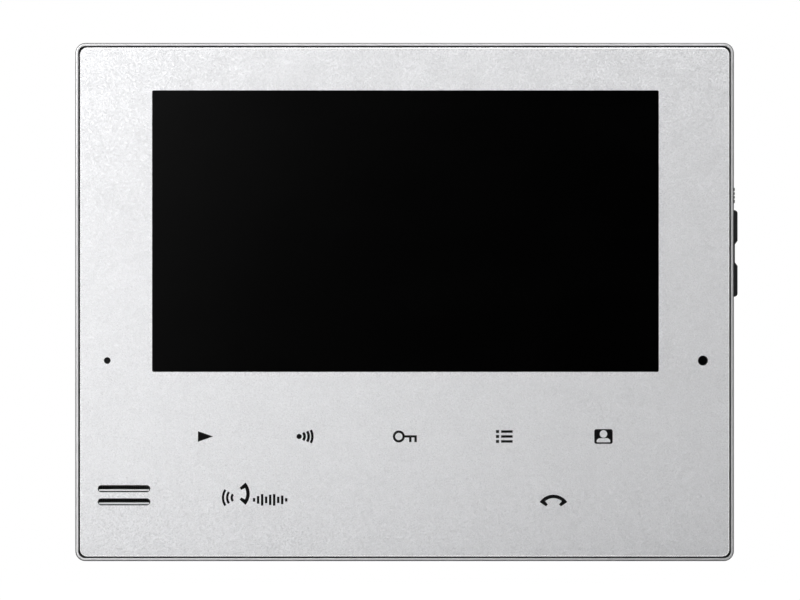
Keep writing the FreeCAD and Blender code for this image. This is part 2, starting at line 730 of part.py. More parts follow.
# Rows of cooling slots: their height, the first slot counted from the middle, and how many.
VENT_ROWS = [(s.vent_up, -11, 23), (s.vent_low, -11, 10), (s.vent_low, 2, 10)]


# ---------------------------------------------------------------- front of the unit


def front_panel():
    """Silver panel with the window opening, sound slots, microphone hole and lamp hole."""
    body = piece("front_panel")
    width = s.unit_width - 2 * (s.rim_width + s.panel_gap)
    height = s.unit_height - 2 * (s.rim_width + s.panel_gap)
    corner = s.unit_corner - s.rim_width
    pad(body, rectangle(width, height, corner=corner), s.panel_back, s.panel_front)
    soften(body, "Chamfer", s.panel_chamfer, rim_edges(width, height, s.panel_front))
    glass_width = s.window_width + 2 * s.fit_gap
    glass_height = s.window_height + 2 * s.fit_gap
    window = rectangle(glass_width, glass_height, s.window_x, s.window_up, s.window_corner)
    cut(body, window, s.panel_back, s.panel_front)
    holes = [stadium(s.slot_long, s.slot_tall, s.slot_x, up) for up in SLOTS]
    holes.append(circle(s.port_round, s.port_x, s.port_up))
    holes.append(circle(s.lamp_round + s.fit_gap, s.lamp_x, s.port_up))
    cut(body, holes, s.panel_back, s.panel_front)


def panel_tape():
    """Adhesive sheet between panel and case, open around the glass flange and every hole."""
    body = piece("panel_tape")
    margin = s.rim_width + s.panel_gap - s.tape_overhang
    corner = s.unit_corner - margin
    outline = rectangle(s.unit_width - 2 * margin, s.unit_height - 2 * margin, corner=corner)
    wider = s.tape_hole_margin
    clear = 2 * (s.window_flange + wider)
    holes = [
        rectangle(s.window_width + clear, s.window_height + clear, s.window_x, s.window_up),
        circle(s.port_round + wider, s.port_x, s.port_up),
        circle(s.lamp_round + wider, s.lamp_x, s.port_up),
    ]
    for up in SLOTS:
        holes.append(stadium(s.slot_long + wider, s.slot_tall + wider, s.slot_x, up))
    pad(body, [outline] + holes, s.tape_back, s.panel_back)


def display_window():
    """Dark glass, flush with the panel, on a flange that sits in the case."""
    body = piece("display_window")
    flange = 2 * s.window_flange
    back = rectangle(s.window_width + flange, s.window_height + flange, s.window_x, s.window_up)
    pad(body, back, s.window_back, s.panel_back)
    front = rectangle(
        s.window_width, s.window_height, s.window_x, s.window_up, s.window_corner - s.fit_gap
    )
    pad(body, front, s.panel_back, s.window_front)


def front_case_shell(body):
    """The front case's walls, rim and face, before its bosses and openings."""
    pad(body, rectangle(s.unit_width, s.unit_height, corner=s.unit_corner), s.parting, s.rim_front)
    soften(body, "Fillet", s.rim_round, rim_edges(s.unit_width, s.unit_height, s.rim_front))
    levels = [
        (s.rim_width, s.tape_back, s.rim_front),
        (s.front_wall, s.parting, s.face_back),
        (s.lip_outer - s.fit_gap, s.parting, s.lip_front + s.fit_gap),
    ]
    for inset, back, front in levels:
        inside = rectangle(
            s.unit_width - 2 * inset, s.unit_height - 2 * inset, corner=s.unit_corner - inset
        )
        cut(body, inside, back, front)


def front_case_bosses(body):
    """Screw bosses, board stakes and the ears that carry the rocker's pin."""
    bosses = [circle(s.boss_round, x, up) for x, up in CASE_SCREWS]
    pad(body, bosses, s.parting + s.fit_gap, s.face_back)
    pad(body, [circle(s.boss_round, x, up) for x, up in CHASSIS_SCREWS], s.display_back, s.face_back)
    touch_back = s.electrode_back - s.board_thick
    stakes = [
        (TOUCH_STAKES, touch_back, s.face_back),
        (LAMP_STAKES, s.lamp_board_back, s.lamp_board_back + s.board_thick),
        (SIDE_STAKES, s.side_board_back, s.side_board_back + s.board_thick),
    ]
    for places, back, front in stakes:
        if places is not TOUCH_STAKES:
            pad(body, [circle(s.stake_head, x, up) for x, up in places], front, s.face_back)
        pad(body, [circle(s.stake_round, x, up) for x, up in places], back, front)
        pad(body, [circle(s.stake_head, x, up) for x, up in places], back - s.stake_head_thick, back)
    half_wide = s.rocker_wide / 2
    ear_long = s.hub_round + s.ear_margin
    ear_left = s.pivot_x - s.hub_round / 2
    ear_right = s.unit_width / 2 - s.front_wall + s.fit_gap
    ear = plain_rectangle(
        ear_right - ear_left, ear_long, (ear_left + ear_right) / 2, s.rocker_up
    )
    clear = s.rocker_gap - s.fit_gap
    pad(body, ear, s.side_ahead + half_wide + clear, s.face_back)
    pad(body, ear, s.lip_front + s.fit_gap, s.side_ahead - half_wide - clear)


def front_case_openings(body):
    """Glass seat, display opening, sound slots with their ribs, ports and side key slots."""
    seat = 2 * (s.window_flange + s.fit_gap)
    cut(
        body,
        rectangle(s.window_width + seat, s.window_height + seat, s.window_x, s.window_up),
        s.window_back,
        s.tape_back,
    )
    ledge = 2 * s.window_ledge
    opening = rectangle(s.window_width + ledge, s.window_height + ledge, s.window_x, s.window_up)
    cut(body, opening, s.face_back, s.window_back)
    taken = s.slot_rib_gap + s.slot_rib
    slots = [
        plain_rectangle(s.slot_long, s.slot_tall - taken, s.slot_x, up + taken / 2) for up in SLOTS
    ]
    cut(body, slots, s.face_back, s.tape_back)
    rib_drop = s.slot_tall / 2 - s.slot_rib_gap - s.slot_rib / 2
    rib_long = s.slot_long - s.slot_rib_gap * 2
    ribs = [plain_rectangle(rib_long, s.slot_rib, s.slot_x, up - rib_drop) for up in SLOTS]
    pad(body, ribs, s.tape_back, s.slot_rib_front)
    ports = [
        circle(s.port_round, s.port_x, s.port_up),
        circle(s.lamp_round + 2 * s.fit_gap, s.lamp_x, s.port_up),
    ]
    cut(body, ports, s.face_back, s.tape_back)
    pilots = [circle(s.screw_pilot, x, up) for x, up in CASE_SCREWS]
    cut(body, pilots, s.parting, s.face_back)
    pilots = [circle(s.screw_pilot, x, up) for x, up in CHASSIS_SCREWS]
    cut(body, pilots, s.display_back, s.face_back)
    ear_end = s.side_ahead + s.rocker_wide / 2 + s.nub_side
    cut(body, circle(s.pin_round + 2 * s.pin_gap, s.pivot_x, s.rocker_up), s.parting, ear_end)
    deep = s.rocker_wide + 2 * s.rocker_gap
    knob_low = s.knob_up - s.knob_long / 2 - s.rocker_gap
    knob_high = s.knob_up + s.knob_long / 2 + s.knob_travel + s.rocker_gap
    side_slots = [
        plain_rectangle(deep, s.rocker_long + 2 * s.rocker_gap, -s.side_ahead, s.rocker_up),
        plain_rectangle(
            s.knob_wide + 2 * s.rocker_gap,
            knob_high - knob_low,
            -s.side_ahead,
            (knob_low + knob_high) / 2,
        ),
    ]
    outside = s.unit_width / 2
    cut(body, side_slots, outside - s.front_wall, outside, SIDE)


def front_case():
    """Silver front case that everything is mounted in."""
    body = piece("front_case")
    front_case_shell(body)
    front_case_bosses(body)
    front_case_openings(body)


def indicator_lens():
    """Light pipe from the indicator lamp to the panel."""
    body = piece("indicator_lens")
    thin, flange = s.lamp_round / 2, s.lamp_flange
    spin(
        body,
        [
            (0, s.lamp_back),
            (thin, s.lamp_back),
            (thin, s.lamp_flange_back),
            (flange, s.lamp_flange_back),
            (flange, s.face_back),
            (thin, s.face_back),
            (thin, s.window_front),
            (0, s.window_front),
        ],
        s.lamp_x,
        s.port_up,
    )


# ---------------------------------------------------------------- display


def display_gasket():
    """Foam frame that keeps dust out of the gap between display and glass."""
    body = piece("display_gasket")
    width, height = s.display_width - 2 * s.foam_inset, s.display_height - 2 * s.foam_inset
    strip = 2 * s.foam_width
    outlines = [
        plain_rectangle(width, height, s.window_x, s.window_up),
        plain_rectangle(width - strip, height - strip, s.window_x, s.window_up),
    ]
    pad(body, outlines, s.display_front, s.face_back)


def display_frame():
    """Folded metal frame around the liquid crystal cell and its backlight."""
    body = piece("display_frame")
    x, up, sheet = s.window_x, s.window_up, 2 * s.display_sheet
    width, height, border = s.display_width, s.display_height, 2 * s.display_border
    inside = s.display_front - s.display_sheet
    pad(body, rectangle(width, height, x, up), s.display_back, s.display_front)
    cut(body, plain_rectangle(width - sheet, height - sheet, x, up), s.display_back, inside)
    cut(body, plain_rectangle(width - border, height - border, x, up), inside, s.display_front)
    notch_width = s.display_cable_width + 2 * s.display_sheet
    notch = plain_rectangle(notch_width, sheet * 2, x, up - height / 2)
    cut(body, notch, s.display_back, inside)


def display_layers():
    """Liquid crystal cell and the backlight behind it."""
    inset = 2 * (s.display_sheet + s.fit_gap)
    outline = plain_rectangle(
        s.display_width - inset, s.display_height - inset, s.window_x, s.window_up
    )
    front = s.display_front - s.display_sheet - s.fit_gap
    pad(piece("display_glass"), outline, s.glass_back, front)
    pad(piece("display_backlight"), outline, s.display_back + s.fit_gap, s.glass_back - s.fit_gap)


def fold(name, width, path, x=0.0):
    """A flat cable: pairs of (depth, up) along one side and back along the other."""
    body = piece(name)
    half = size(width) / 2
    outline = polygon([(-size(ahead), up) for ahead, up in path])
    pad(body, outline, size(x) - half, size(x) + half, SIDE)


def display_cable():
    """Flat cable from the cell, under the chassis and up to the main board."""
    thin = s.flat_cable
    leave = s.window_up - s.display_height / 2 + s.display_sheet
    low = leave - s.display_cable_drop
    front, back = s.glass_back + thin, s.board_back + s.board_thick + 2 * thin
    end = low + s.display_cable_rise
    path = [
        (front, leave),
        (front, low + thin),
        (back + thin, low + thin),
        (back + thin, end),
        (back, end),
        (back, low),
        (front + thin, low),
        (front + thin, leave),
    ]
    fold("display_cable", s.display_cable_width, path)


def display_chassis():
    """Sheet metal tray that holds the display, with ears for its screws and board standoffs."""
    body = piece("display_chassis")
    front = s.display_back
    width = s.display_width + 2 * s.chassis_side
    height = s.display_height + 2 * s.chassis_side
    pad(body, rectangle(width, height, s.window_x, s.window_up), s.chassis_back, front)
    ear_reach = s.chassis_screw_x + s.ear_tall / 2
    for up in CHASSIS_HEIGHTS:
        pad(body, stadium(2 * ear_reach, s.ear_tall, 0, up), s.chassis_back, front)
    standoffs = [circle(s.boss_round, x, up) for x, up in BOARD_SCREWS]
    pad(body, standoffs, s.board_back + s.board_thick, s.chassis_back)
    cut(body, [circle(s.screw_pass, x, up) for x, up in CHASSIS_SCREWS], s.chassis_back, front)
    board_front = s.board_back + s.board_thick
    cut(body, [circle(s.screw_pilot, x, up) for x, up in BOARD_SCREWS], board_front, front)
    notch_wide = s.display_cable_width + s.chassis_notch
    notch = plain_rectangle(notch_wide, s.chassis_notch, 0, s.window_up - height / 2)
    cut(body, notch, s.chassis_back, front)
    low_row = s.window_up + s.relief_up
    lighten = [
        stadium(2 * s.relief_tall, s.relief_tall, s.relief_pitch * n, up)
        for n in (-2, -1, 0, 1, 2)
        for up in (low_row, low_row + s.relief_step)
    ]
    cut(body, lighten, s.chassis_back, front)


# ---------------------------------------------------------------- touch keys


def touch_board():
    """Circuit board behind the keys, with a corner cut out beside the speaker."""
    half, notch_x, notch_up = s.touch_width / 2, s.touch_notch_x, s.touch_notch_up
    outline = polygon(
        [
            (notch_x, s.touch_low),
            (half, s.touch_low),
            (half, s.touch_high),
            (-half, s.touch_high),
            (-half, notch_up),
            (notch_x, notch_up),
        ]
    )
    body = piece("touch_board")
    front = s.electrode_back
    back = front - s.board_thick
    pad(body, outline, back, front)
    cut(body, [circle(s.stake_round, x, up) for x, up in TOUCH_STAKES], back, front)


def touch_electrodes():
    """Copper sensor fields, one behind each key."""
    body = piece("touch_electrodes")
    fields = [rectangle(s.electrode_side, s.electrode_side, x, up) for x, up in KEYS]
    pad(body, fields, s.electrode_back, s.face_back)


def touch_parts():
    """Touch controller and cable socket on the back of the touch board."""
    body = piece("touch_parts")
    back = s.electrode_back - s.board_thick
    outlines = [plain_rectangle(*TOUCH_CHIP), plain_rectangle(*TOUCH_SOCKET)]
    pad(body, outlines, back - s.board_thick, back)


def touch_cable():
    """Flat cable from the touch board to the front of the main board."""
    thin = s.flat_cable
    front = s.electrode_back - 1.5 * s.board_thick
    back = s.board_back + s.board_thick + 2 * thin
    leave, high, end = s.touch_cable_low, s.touch_cable_bend, s.touch_cable_high
    path = [
        (front, leave),
        (front, high - thin),
        (back, high - thin),
        (back, end),
        (back + thin, end),
        (back + thin, high),
        (front + thin, high),
        (front + thin, leave),
    ]
    fold("touch_cable", s.touch_cable_width, path)


# ---------------------------------------------------------------- sound


def speaker():
    """Flat loudspeaker behind the sound slots: frame, magnet, cone, surround and foam ring."""
    x, up, rim, front = s.speaker_x, s.speaker_up, s.speaker_radius, s.speaker_front
    cloth = s.gasket_inside - s.fit_gap
    disc = [(0, s.mesh_back), (cloth, s.mesh_back), (cloth, s.face_back), (0, s.face_back)]
    spin(piece("speaker_cloth"), disc, x, up)
    inside = s.gasket_inside
    foam = [(inside, front), (rim, front), (rim, s.face_back), (inside, s.face_back)]
    spin(piece("speaker_gasket"), foam, x, up)
    sheet, hole, seat_wide, seat_deep, clear = 0.6, 5.0, 0.9, 1.1, 0.2
    foot, shoulder = 1.4, 1.0
    base, inner_rim = s.magnet_front, s.gasket_inside - seat_wide
    spin(
        piece("speaker_frame"),
        [
            (rim, front),
            (rim, front - sheet),
            (s.gasket_inside - clear, front - sheet),
            (s.gasket_inside - clear, front - foot),
            (s.magnet_radius + foot, base),
            (hole, base),
            (hole, base + sheet),
            (s.magnet_radius + shoulder, base + sheet),
            (inner_rim, front - seat_deep),
            (inner_rim, front),
        ],
        x,
        up,
    )
    coil_travel, bulge = 1.5, 0.8
    gap_floor = s.coil_back - coil_travel
    spin(
        piece("speaker_magnet"),
        [
            (0, s.magnet_back),
            (s.magnet_radius, s.magnet_back),
            (s.magnet_radius, base),
            (s.magnet_bore, base),
            (s.magnet_bore, gap_floor),
            (s.pole_radius, gap_floor),
            (s.pole_radius, base),
            (0, base),
        ],
        x,
        up,
    )
    paper, dome, neck = 0.25, 1.1, s.coil_outside + s.fit_gap
    edge = s.cone_front
    root = edge - s.cone_deep
    spin(
        piece("speaker_cone"),
        [
            (0, root + dome),
            (neck / 2, root + dome * bulge),
            (neck, root + paper),
            (s.cone_radius, edge),
            (s.cone_radius, edge - paper),
            (s.coil_outside, root - paper),
            (s.coil_outside, s.coil_back),
            (s.coil_inside, s.coil_back),
            (s.coil_inside, root),
            (neck / 2, root + dome * bulge - paper),
            (0, root + dome - paper),
        ],
        x,
        up,
    )
    start, stop, roll = s.cone_radius + s.fit_gap, inner_rim, 0.6
    crest = (start + stop) / 2
    spin(
        piece("speaker_surround"),
        [
            (start, edge - paper),
            (start, edge),
            (crest - paper, edge + roll),
            (crest + paper, edge + roll),
            (stop, edge),
            (stop, edge - paper),
            (crest, edge + roll - paper),
        ],
        x,
        up,
    )


def microphone():
    """Microphone capsule in a rubber boot that seals it to the hole in the panel."""
    capsule, boot, hole = s.capsule_round / 2, s.boot_round / 2, s.port_round / 2
    spin(
        piece("microphone"),
        [(0, s.capsule_back), (capsule, s.capsule_back), (capsule, s.capsule_front),
         (0, s.capsule_front)],
        s.port_x,
        s.port_up,
    )
    bore, floor = capsule + s.pin_gap, s.capsule_front + s.pin_gap
    spin(
        piece("microphone_boot"),
        [
            (hole, s.face_back),
            (boot, s.face_back),
            (boot, s.boot_back),
            (bore, s.boot_back),
            (bore, floor),
            (hole, floor),
        ],
        s.port_x,
        s.port_up,
    )


# ---------------------------------------------------------------- circuit boards


def main_board():
    """Main circuit board, screwed to the chassis."""
    body = piece("main_board")
    front = s.board_back + s.board_thick
    outline = rectangle(s.board_width, s.board_height, 0, s.board_up)
    pad(body, outline, s.board_back, front)
    cut(body, [circle(s.screw_pass, x, up) for x, up in BOARD_SCREWS], s.board_back, front)


def parts_on_board(name, height, places):
    """Rectangular parts on the back of the main board, each (width, tall, x, up)."""
    body = piece(name)
    pad(body, [plain_rectangle(*place) for place in places], s.board_back - height, s.board_back)
    return body


def board_parts():
    """Shielded radio section, chips, coils, capacitors and cable sockets."""
    can = parts_on_board("shield_can", s.can_tall, [SHIELD_CAN])
    ceiling = s.board_back - s.can_tall + s.can_sheet
    cut(can, plain_rectangle(*SHIELD_CAN_INSIDE), ceiling, s.board_back)
    parts_on_board("board_chips", s.chip_tall, CHIPS)
    small = piece("small_parts")
    for (wide, tall), (x, up), count, axis in SMALL_ROWS:
        outline = plain_rectangle(wide, tall, x, up)
        pad(small, outline, s.board_back - s.small_tall, s.board_back)
        repeat(small, s.small_pitch, count, axis)
    parts_on_board("power_coils", s.coil_tall, COILS)
    sockets = parts_on_board("cable_sockets", s.socket_tall, LEAD_SOCKETS)
    front = s.board_back + s.board_thick
    outlines = [plain_rectangle(*place) for place in FLAT_SOCKETS]
    pad(sockets, outlines, front, front + s.flat_socket_tall)
    cans = piece("board_capacitors")
    outlines = [circle(s.capacitor_round, x, up) for x, up in CAPACITORS]
    pad(cans, outlines, s.board_back - s.capacitor_tall, s.board_back)


def indicator_board():
    """Small board with the indicator lamp."""
    body = piece("indicator_board")
    front = s.lamp_board_back + s.board_thick
    outline = rectangle(*LAMP_BOARD)
    pad(body, outline, s.lamp_board_back, front)
    cut(body, [circle(s.stake_round, x, up) for x, up in LAMP_STAKES], s.lamp_board_back, front)
    half = s.lamp_round / 2
    lamp = block(
        "lamp",
        (s.lamp_x - half, s.lamp_x + half),
        (s.port_up - half, s.port_up + half),
        (front, front + half),
    )
    as_node(lamp, "indicator_lamp")


def cable_pairs():
    """Leads of the speaker, the microphone and the indicator lamp."""
    wires("speaker_leads", SPEAKER_LEADS)
    wires("microphone_leads", MICROPHONE_LEADS)
    wires("indicator_leads", INDICATOR_LEADS)


# ---------------------------------------------------------------- terminals


def terminals():
    """Screw terminals for the cables from the door station and the power supply."""
    count = int(s.terminal_count.value)
    x_places = [s.terminal_pitch * (n - (count - 1) / 2) for n in range(count)]
    wide = s.terminal_pitch * s.terminal_count + s.terminal_wall
    body = piece("terminal_block")
    pad(body, plain_rectangle(wide, s.terminal_tall), s.terminal_seat, s.board_back)
    edge = s.terminal_pitch / 2
    walls = [x_places[0] - edge] + [x + edge for x in x_places]
    outlines = [plain_rectangle(s.terminal_wall, s.terminal_tall, x) for x in walls]
    pad(body, outlines, s.terminal_back, s.terminal_seat)
    cut(body, [circle(s.screw_pass, x) for x in x_places], s.terminal_seat, s.board_back)
    clamp_wide = s.terminal_pitch - s.terminal_wall - 2 * s.clamp_gap
    plates = piece("terminal_clamps")
    squares = [plain_rectangle(clamp_wide, s.clamp_tall, x) for x in x_places]
    seat = s.terminal_seat - s.clamp_thick
    pad(plates, squares, seat, s.terminal_seat)
    cut(plates, [circle(s.screw_pass, x) for x in x_places], seat, s.terminal_seat)
    screws("terminal_screws", [(x, size(0)) for x in x_places], seat, s.terminal_screw_reach)


# ---------------------------------------------------------------- side keys


def volume_rocker():
    """Rocker with two raised pads, a hub for its pin and a nub for each switch."""
    body = piece("volume_rocker")
    side = s.unit_width / 2
    high, low = side + s.rocker_proud, side + s.rocker_dip_proud
    end, near = s.rocker_long / 2, s.rocker_dip / 2
    far = near + s.rocker_slope
    middle, beam = s.rocker_up, s.rocker_beam_x
    outline = polygon(
        [
            (beam, middle - end),
            (high, middle - end),
            (high, middle - far),
            (low, middle - near),
            (low, middle + near),
            (high, middle + far),
            (high, middle + end),
            (beam, middle + end),
        ]
    )
    back, front = s.side_ahead - s.rocker_wide / 2, s.side_ahead + s.rocker_wide / 2
    pad(body, outline, back, front)
    for up in (middle - end, middle + end):
        soften(body, "Fillet", s.rocker_round, edges_at(high, up))
    pad(body, circle(s.hub_round, s.pivot_x, middle), back, front)
    nub_middle = (s.nub_tip_x + beam) / 2
    nubs = [plain_rectangle(beam - s.nub_tip_x, s.nub_side, nub_middle, up) for up in NUBS]
    pad(body, nubs, s.side_ahead - s.nub_side / 2, s.side_ahead + s.nub_side / 2)
    cut(body, circle(s.pin_round + 2 * s.pin_gap, s.pivot_x, middle), back, front)
    marks = [
        cross(s.mark_long, s.mark_wide, -s.side_ahead, NUBS[0]),
        plain_rectangle(s.mark_long, s.mark_wide, -s.side_ahead, NUBS[1]),
    ]
    cut(body, marks, high - s.mark_deep, high, SIDE)


def rocker_pin():
    """Steel pin that the rocker turns on, held in two ears of the front case."""
    start = s.lip_front + 2 * s.fit_gap
    long = s.side_ahead + s.rocker_wide / 2 + s.nub_side - start - s.fit_gap
    turn = Rotation(Vector(1, 0, 0), 90)
    pivot = (s.pivot_x, -start, s.rocker_up)
    as_node(rod("pin", s.pin_round, pivot, long, turn), "rocker_pin")


def volume_switches():
    """Push switches under the rocker's two ends, and their plungers."""
    body = piece("volume_switches")
    left, right = s.switch_left, s.plunger_tip_x - 1
    ahead, tall = s.side_ahead, s.switch_tall
    board_front = s.side_board_back + s.board_thick
    cases = [plain_rectangle(right - left, tall, (right + left) / 2, up) for up in NUBS]
    pad(body, cases, board_front, board_front + s.side_ahead - s.side_board_back)
    bore = s.plunger_round + 2 * s.fit_gap
    inner = s.plunger_back_x - 4 * s.fit_gap
    cut(body, [circle(bore, -ahead, up) for up in NUBS], inner, right, SIDE)
    turn = Rotation(Vector(0, 1, 0), 90)
    reach = s.plunger_tip_x - s.plunger_back_x
    for name, up in zip(("upper_plunger", "lower_plunger"), NUBS):
        start = (s.plunger_back_x, -ahead, up)
        as_node(rod(name, s.plunger_round, start, reach, turn), name)


def power_switch():
    """Slide switch on the side key board."""
    body = piece("power_switch")
    left, right, low, high = s.slider_left, s.slider_right, s.slider_low, s.slider_high
    board_front = s.side_board_back + s.board_thick
    outline = plain_rectangle(right - left, high - low, (left + right) / 2, (low + high) / 2)
    pad(body, outline, board_front, board_front + s.slider_tall)
    reach = s.tongue_tall / 2 + s.tongue_gap
    low_end, high_end = s.knob_up - reach, s.knob_up + reach + s.knob_travel
    wide = s.tongue_thick + s.tongue_gap
    groove = plain_rectangle(wide, high_end - low_end, -s.side_ahead, (low_end + high_end) / 2)
    cut(body, groove, s.tongue_end - s.slider_play, right, SIDE)


def power_knob():
    """Grooved slide on the side of the unit, with a plate inside and a tongue to its switch."""
    body = piece("power_knob")
    outer = s.unit_width / 2 + s.knob_proud
    inner = s.unit_width / 2 - s.front_wall - s.fit_gap
    half = s.knob_wide / 2
    middle = (inner + outer) / 2
    knob = plain_rectangle(outer - inner, s.knob_long, middle, s.knob_up)
    pad(body, knob, s.side_ahead - half, s.side_ahead + half)
    beam = inner - s.knob_plate
    plate_long = s.knob_long + 2 * s.knob_plate_margin
    plate_up = s.knob_up + s.knob_plate_up
    plate = plain_rectangle(s.knob_plate, plate_long, (inner + beam) / 2, plate_up)
    pad(body, plate, s.side_ahead - s.knob_wide, s.side_ahead + s.knob_wide)
    end, half_thick = s.tongue_end, s.tongue_thick / 2
    tongue = plain_rectangle(beam - end, s.tongue_tall, (end + beam) / 2, s.knob_up)
    pad(body, tongue, s.side_ahead - half_thick, s.side_ahead + half_thick)
    step = s.knob_long / 4
    groove = [
        plain_rectangle(s.knob_groove * 2, s.knob_groove, outer, s.knob_up + step * n)
        for n in (-1, 0, 1)
    ]
    cut(body, groove, s.side_ahead - half, s.side_ahead + half)


def side_board():
    """Circuit board that carries the volume and power switches, and its flat cable."""
    body = piece("side_key_board")
    back, front = s.side_board_back, s.side_board_back + s.board_thick
    left, right, low, high = (
        s.side_board_left, s.side_board_right, s.side_board_low, s.side_board_high
    )
    outline = rectangle(right - left, high - low, (left + right) / 2, (low + high) / 2)
    pad(body, outline, back, front)
    cut(body, [circle(s.stake_round, x, up) for x, up in SIDE_STAKES], back, front)
    cable = piece("side_key_cable")
    start, end, ahead = s.side_cable_start, left + s.side_cable_inset, s.side_cable_ahead
    thin = s.flat_cable
    path = [
        (start, -ahead),
        (end, -ahead),
        (end, -back),
        (end - thin, -back),
        (end - thin, -ahead - thin),
        (start, -ahead - thin),
    ]
    pad(cable, polygon(path), s.side_cable_low, s.side_cable_high, PLAN)


# ---------------------------------------------------------------- rear case and wall plate


def rear_case_shell(body):
    """The rear case's back, side walls, joining lip and recess for the wall plate."""
    width, height, corner = s.unit_width, s.unit_height, s.unit_corner
    pad(body, rectangle(width, height, corner=corner), s.rear_face, s.parting)
    soften(body, "Fillet", s.rear_round, rim_edges(width, height, s.rear_face))
    wall = s.rear_skin
    inside = rectangle(width - 2 * wall, height - 2 * wall, corner=corner - wall)
    cut(body, inside, s.rear_skin, s.parting)
    outer, inner = s.lip_outer, s.lip_outer + s.lip_thick
    lip = [
        rectangle(width - 2 * inset, height - 2 * inset, corner=corner - inset)
        for inset in (outer, inner)
    ]
    pad(body, lip, s.parting, s.lip_front)
    wall = s.recess_wall
    around = rectangle(
        s.recess_width + 2 * wall, s.recess_height + 2 * wall, 0, s.recess_up, s.recess_corner + wall
    )
    pad(body, around, s.rear_skin, s.recess_inside)
    recess = rectangle(s.recess_width, s.recess_height, 0, s.recess_up, s.recess_corner)
    cut(body, recess, s.rear_face, s.recess_floor)


def rear_case():
    """Dark rear case with a recess for the wall plate, hook slots, vents and screw wells."""
    body = piece("rear_case")
    rear_case_shell(body)
    pad(body, [circle(s.tube_round, x, up) for x, up in CASE_SCREWS], s.rear_skin, s.parting)
    wells = [circle(s.well_round, x, up) for x, up in CASE_SCREWS]
    cut(body, wells, s.rear_face, s.case_screw_seat)
    cut(body, [circle(s.screw_pass, x, up) for x, up in CASE_SCREWS], s.rear_face, s.parting)
    rest = s.plate_thick + s.hook_gap
    drop = s.lift + s.hook_slack
    wide = s.hook_wide + s.hook_play
    slots = [plain_rectangle(wide, rest + drop, x, up + (rest - drop) / 2) for x, up in HOOKS]
    opening = rectangle(s.hatch_width, s.hatch_height, 0, s.hatch_up)
    cut(body, slots + [opening], s.recess_floor, s.recess_inside)
    for up, first, count in VENT_ROWS:
        vent = stadium(s.vent_wide, s.vent_tall, s.vent_pitch * first, up)
        cut(body, vent, s.rear_face, s.rear_skin)
        repeat(body, s.vent_pitch, count)


def wall_bracket():
    """Steel wall plate with four hooks, a cable opening and holes for a switch box."""
    body = piece("wall_bracket")
    thick = s.plate_thick
    pad(body, rectangle(s.plate_width, s.plate_height, corner=s.plate_corner), 0, thick)
    holes = [rectangle(s.wiring_width, s.wiring_height, 0, s.wiring_up, s.wiring_corner)]
    holes += [circle(s.wall_hole_round, s.wall_hole_x * a, s.wall_hole_up * b) for a, b in CORNERS]
    for b in BOTH:
        holes.append(stadium(s.box_slot_wide, s.box_slot_long, 0, s.box_pitch / 2 * b))
    for x, up in HOOKS:
        holes.append(
            plain_rectangle(s.hook_wide + s.hook_play, s.hook_blank, x, up + thick + s.hook_blank / 2)
        )
    cut(body, holes, 0, thick)
    for x, up in HOOKS:
        post = plain_rectangle(s.hook_wide, thick, x, up + thick / 2)
        pad(body, post, 0, s.hook_front)
        finger = plain_rectangle(s.hook_wide, s.hook_finger, x, up + s.hook_finger / 2)
        pad(body, finger, s.hook_front - thick, s.hook_front)
    soften(body, "Fillet", thick / 2, hook_bends())


def hook_bends():
    """Picks the outer bend edge of every hook."""
    lows = [up.value for _, up in HOOKS]

    def wanted(edge):
        ends = edge.Vertexes
        flat = all(abs(end.Y + s.hook_front.value) < LOOSE for end in ends)
        return flat and any(all(abs(end.Z - low) < LOOSE for end in ends) for low in lows)

    return wanted


# ---------------------------------------------------------------- build, check and write

wall_bracket()
rear_case()
screws("case_screws", CASE_SCREWS, s.case_screw_seat, s.case_screw_reach)
front_case()
panel_tape()
front_panel()
display_window()
indicator_lens()
display_gasket()
display_frame()
display_layers()
display_cable()
display_chassis()
screws("chassis_screws", CHASSIS_SCREWS, s.chassis_back, s.chassis_screw_reach)
touch_board()
touch_electrodes()
touch_parts()
touch_cable()
speaker()
microphone()
main_board()
board_parts()
screws("board_screws", BOARD_SCREWS, s.board_back, s.board_screw_reach)
indicator_board()
cable_pairs()
terminals()
side_board()
volume_switches()
volume_rocker()
rocker_pin()
power_switch()
power_knob()
doc.recompute()

faults = [item.Label for item in doc.Objects if {"Invalid", "Error"} & set(item.State)]
for node in nodes:
    if node.Shape.isNull() or not node.Shape.isValid() or not node.Shape.Solids:
        faults.append(node.Label)
if faults:
    raise RuntimeError(f"not built: {faults}")

os.makedirs("parts", exist_ok=True)
for node in nodes:
    node.Shape.exportStep(f"parts/{node.Label}.step")
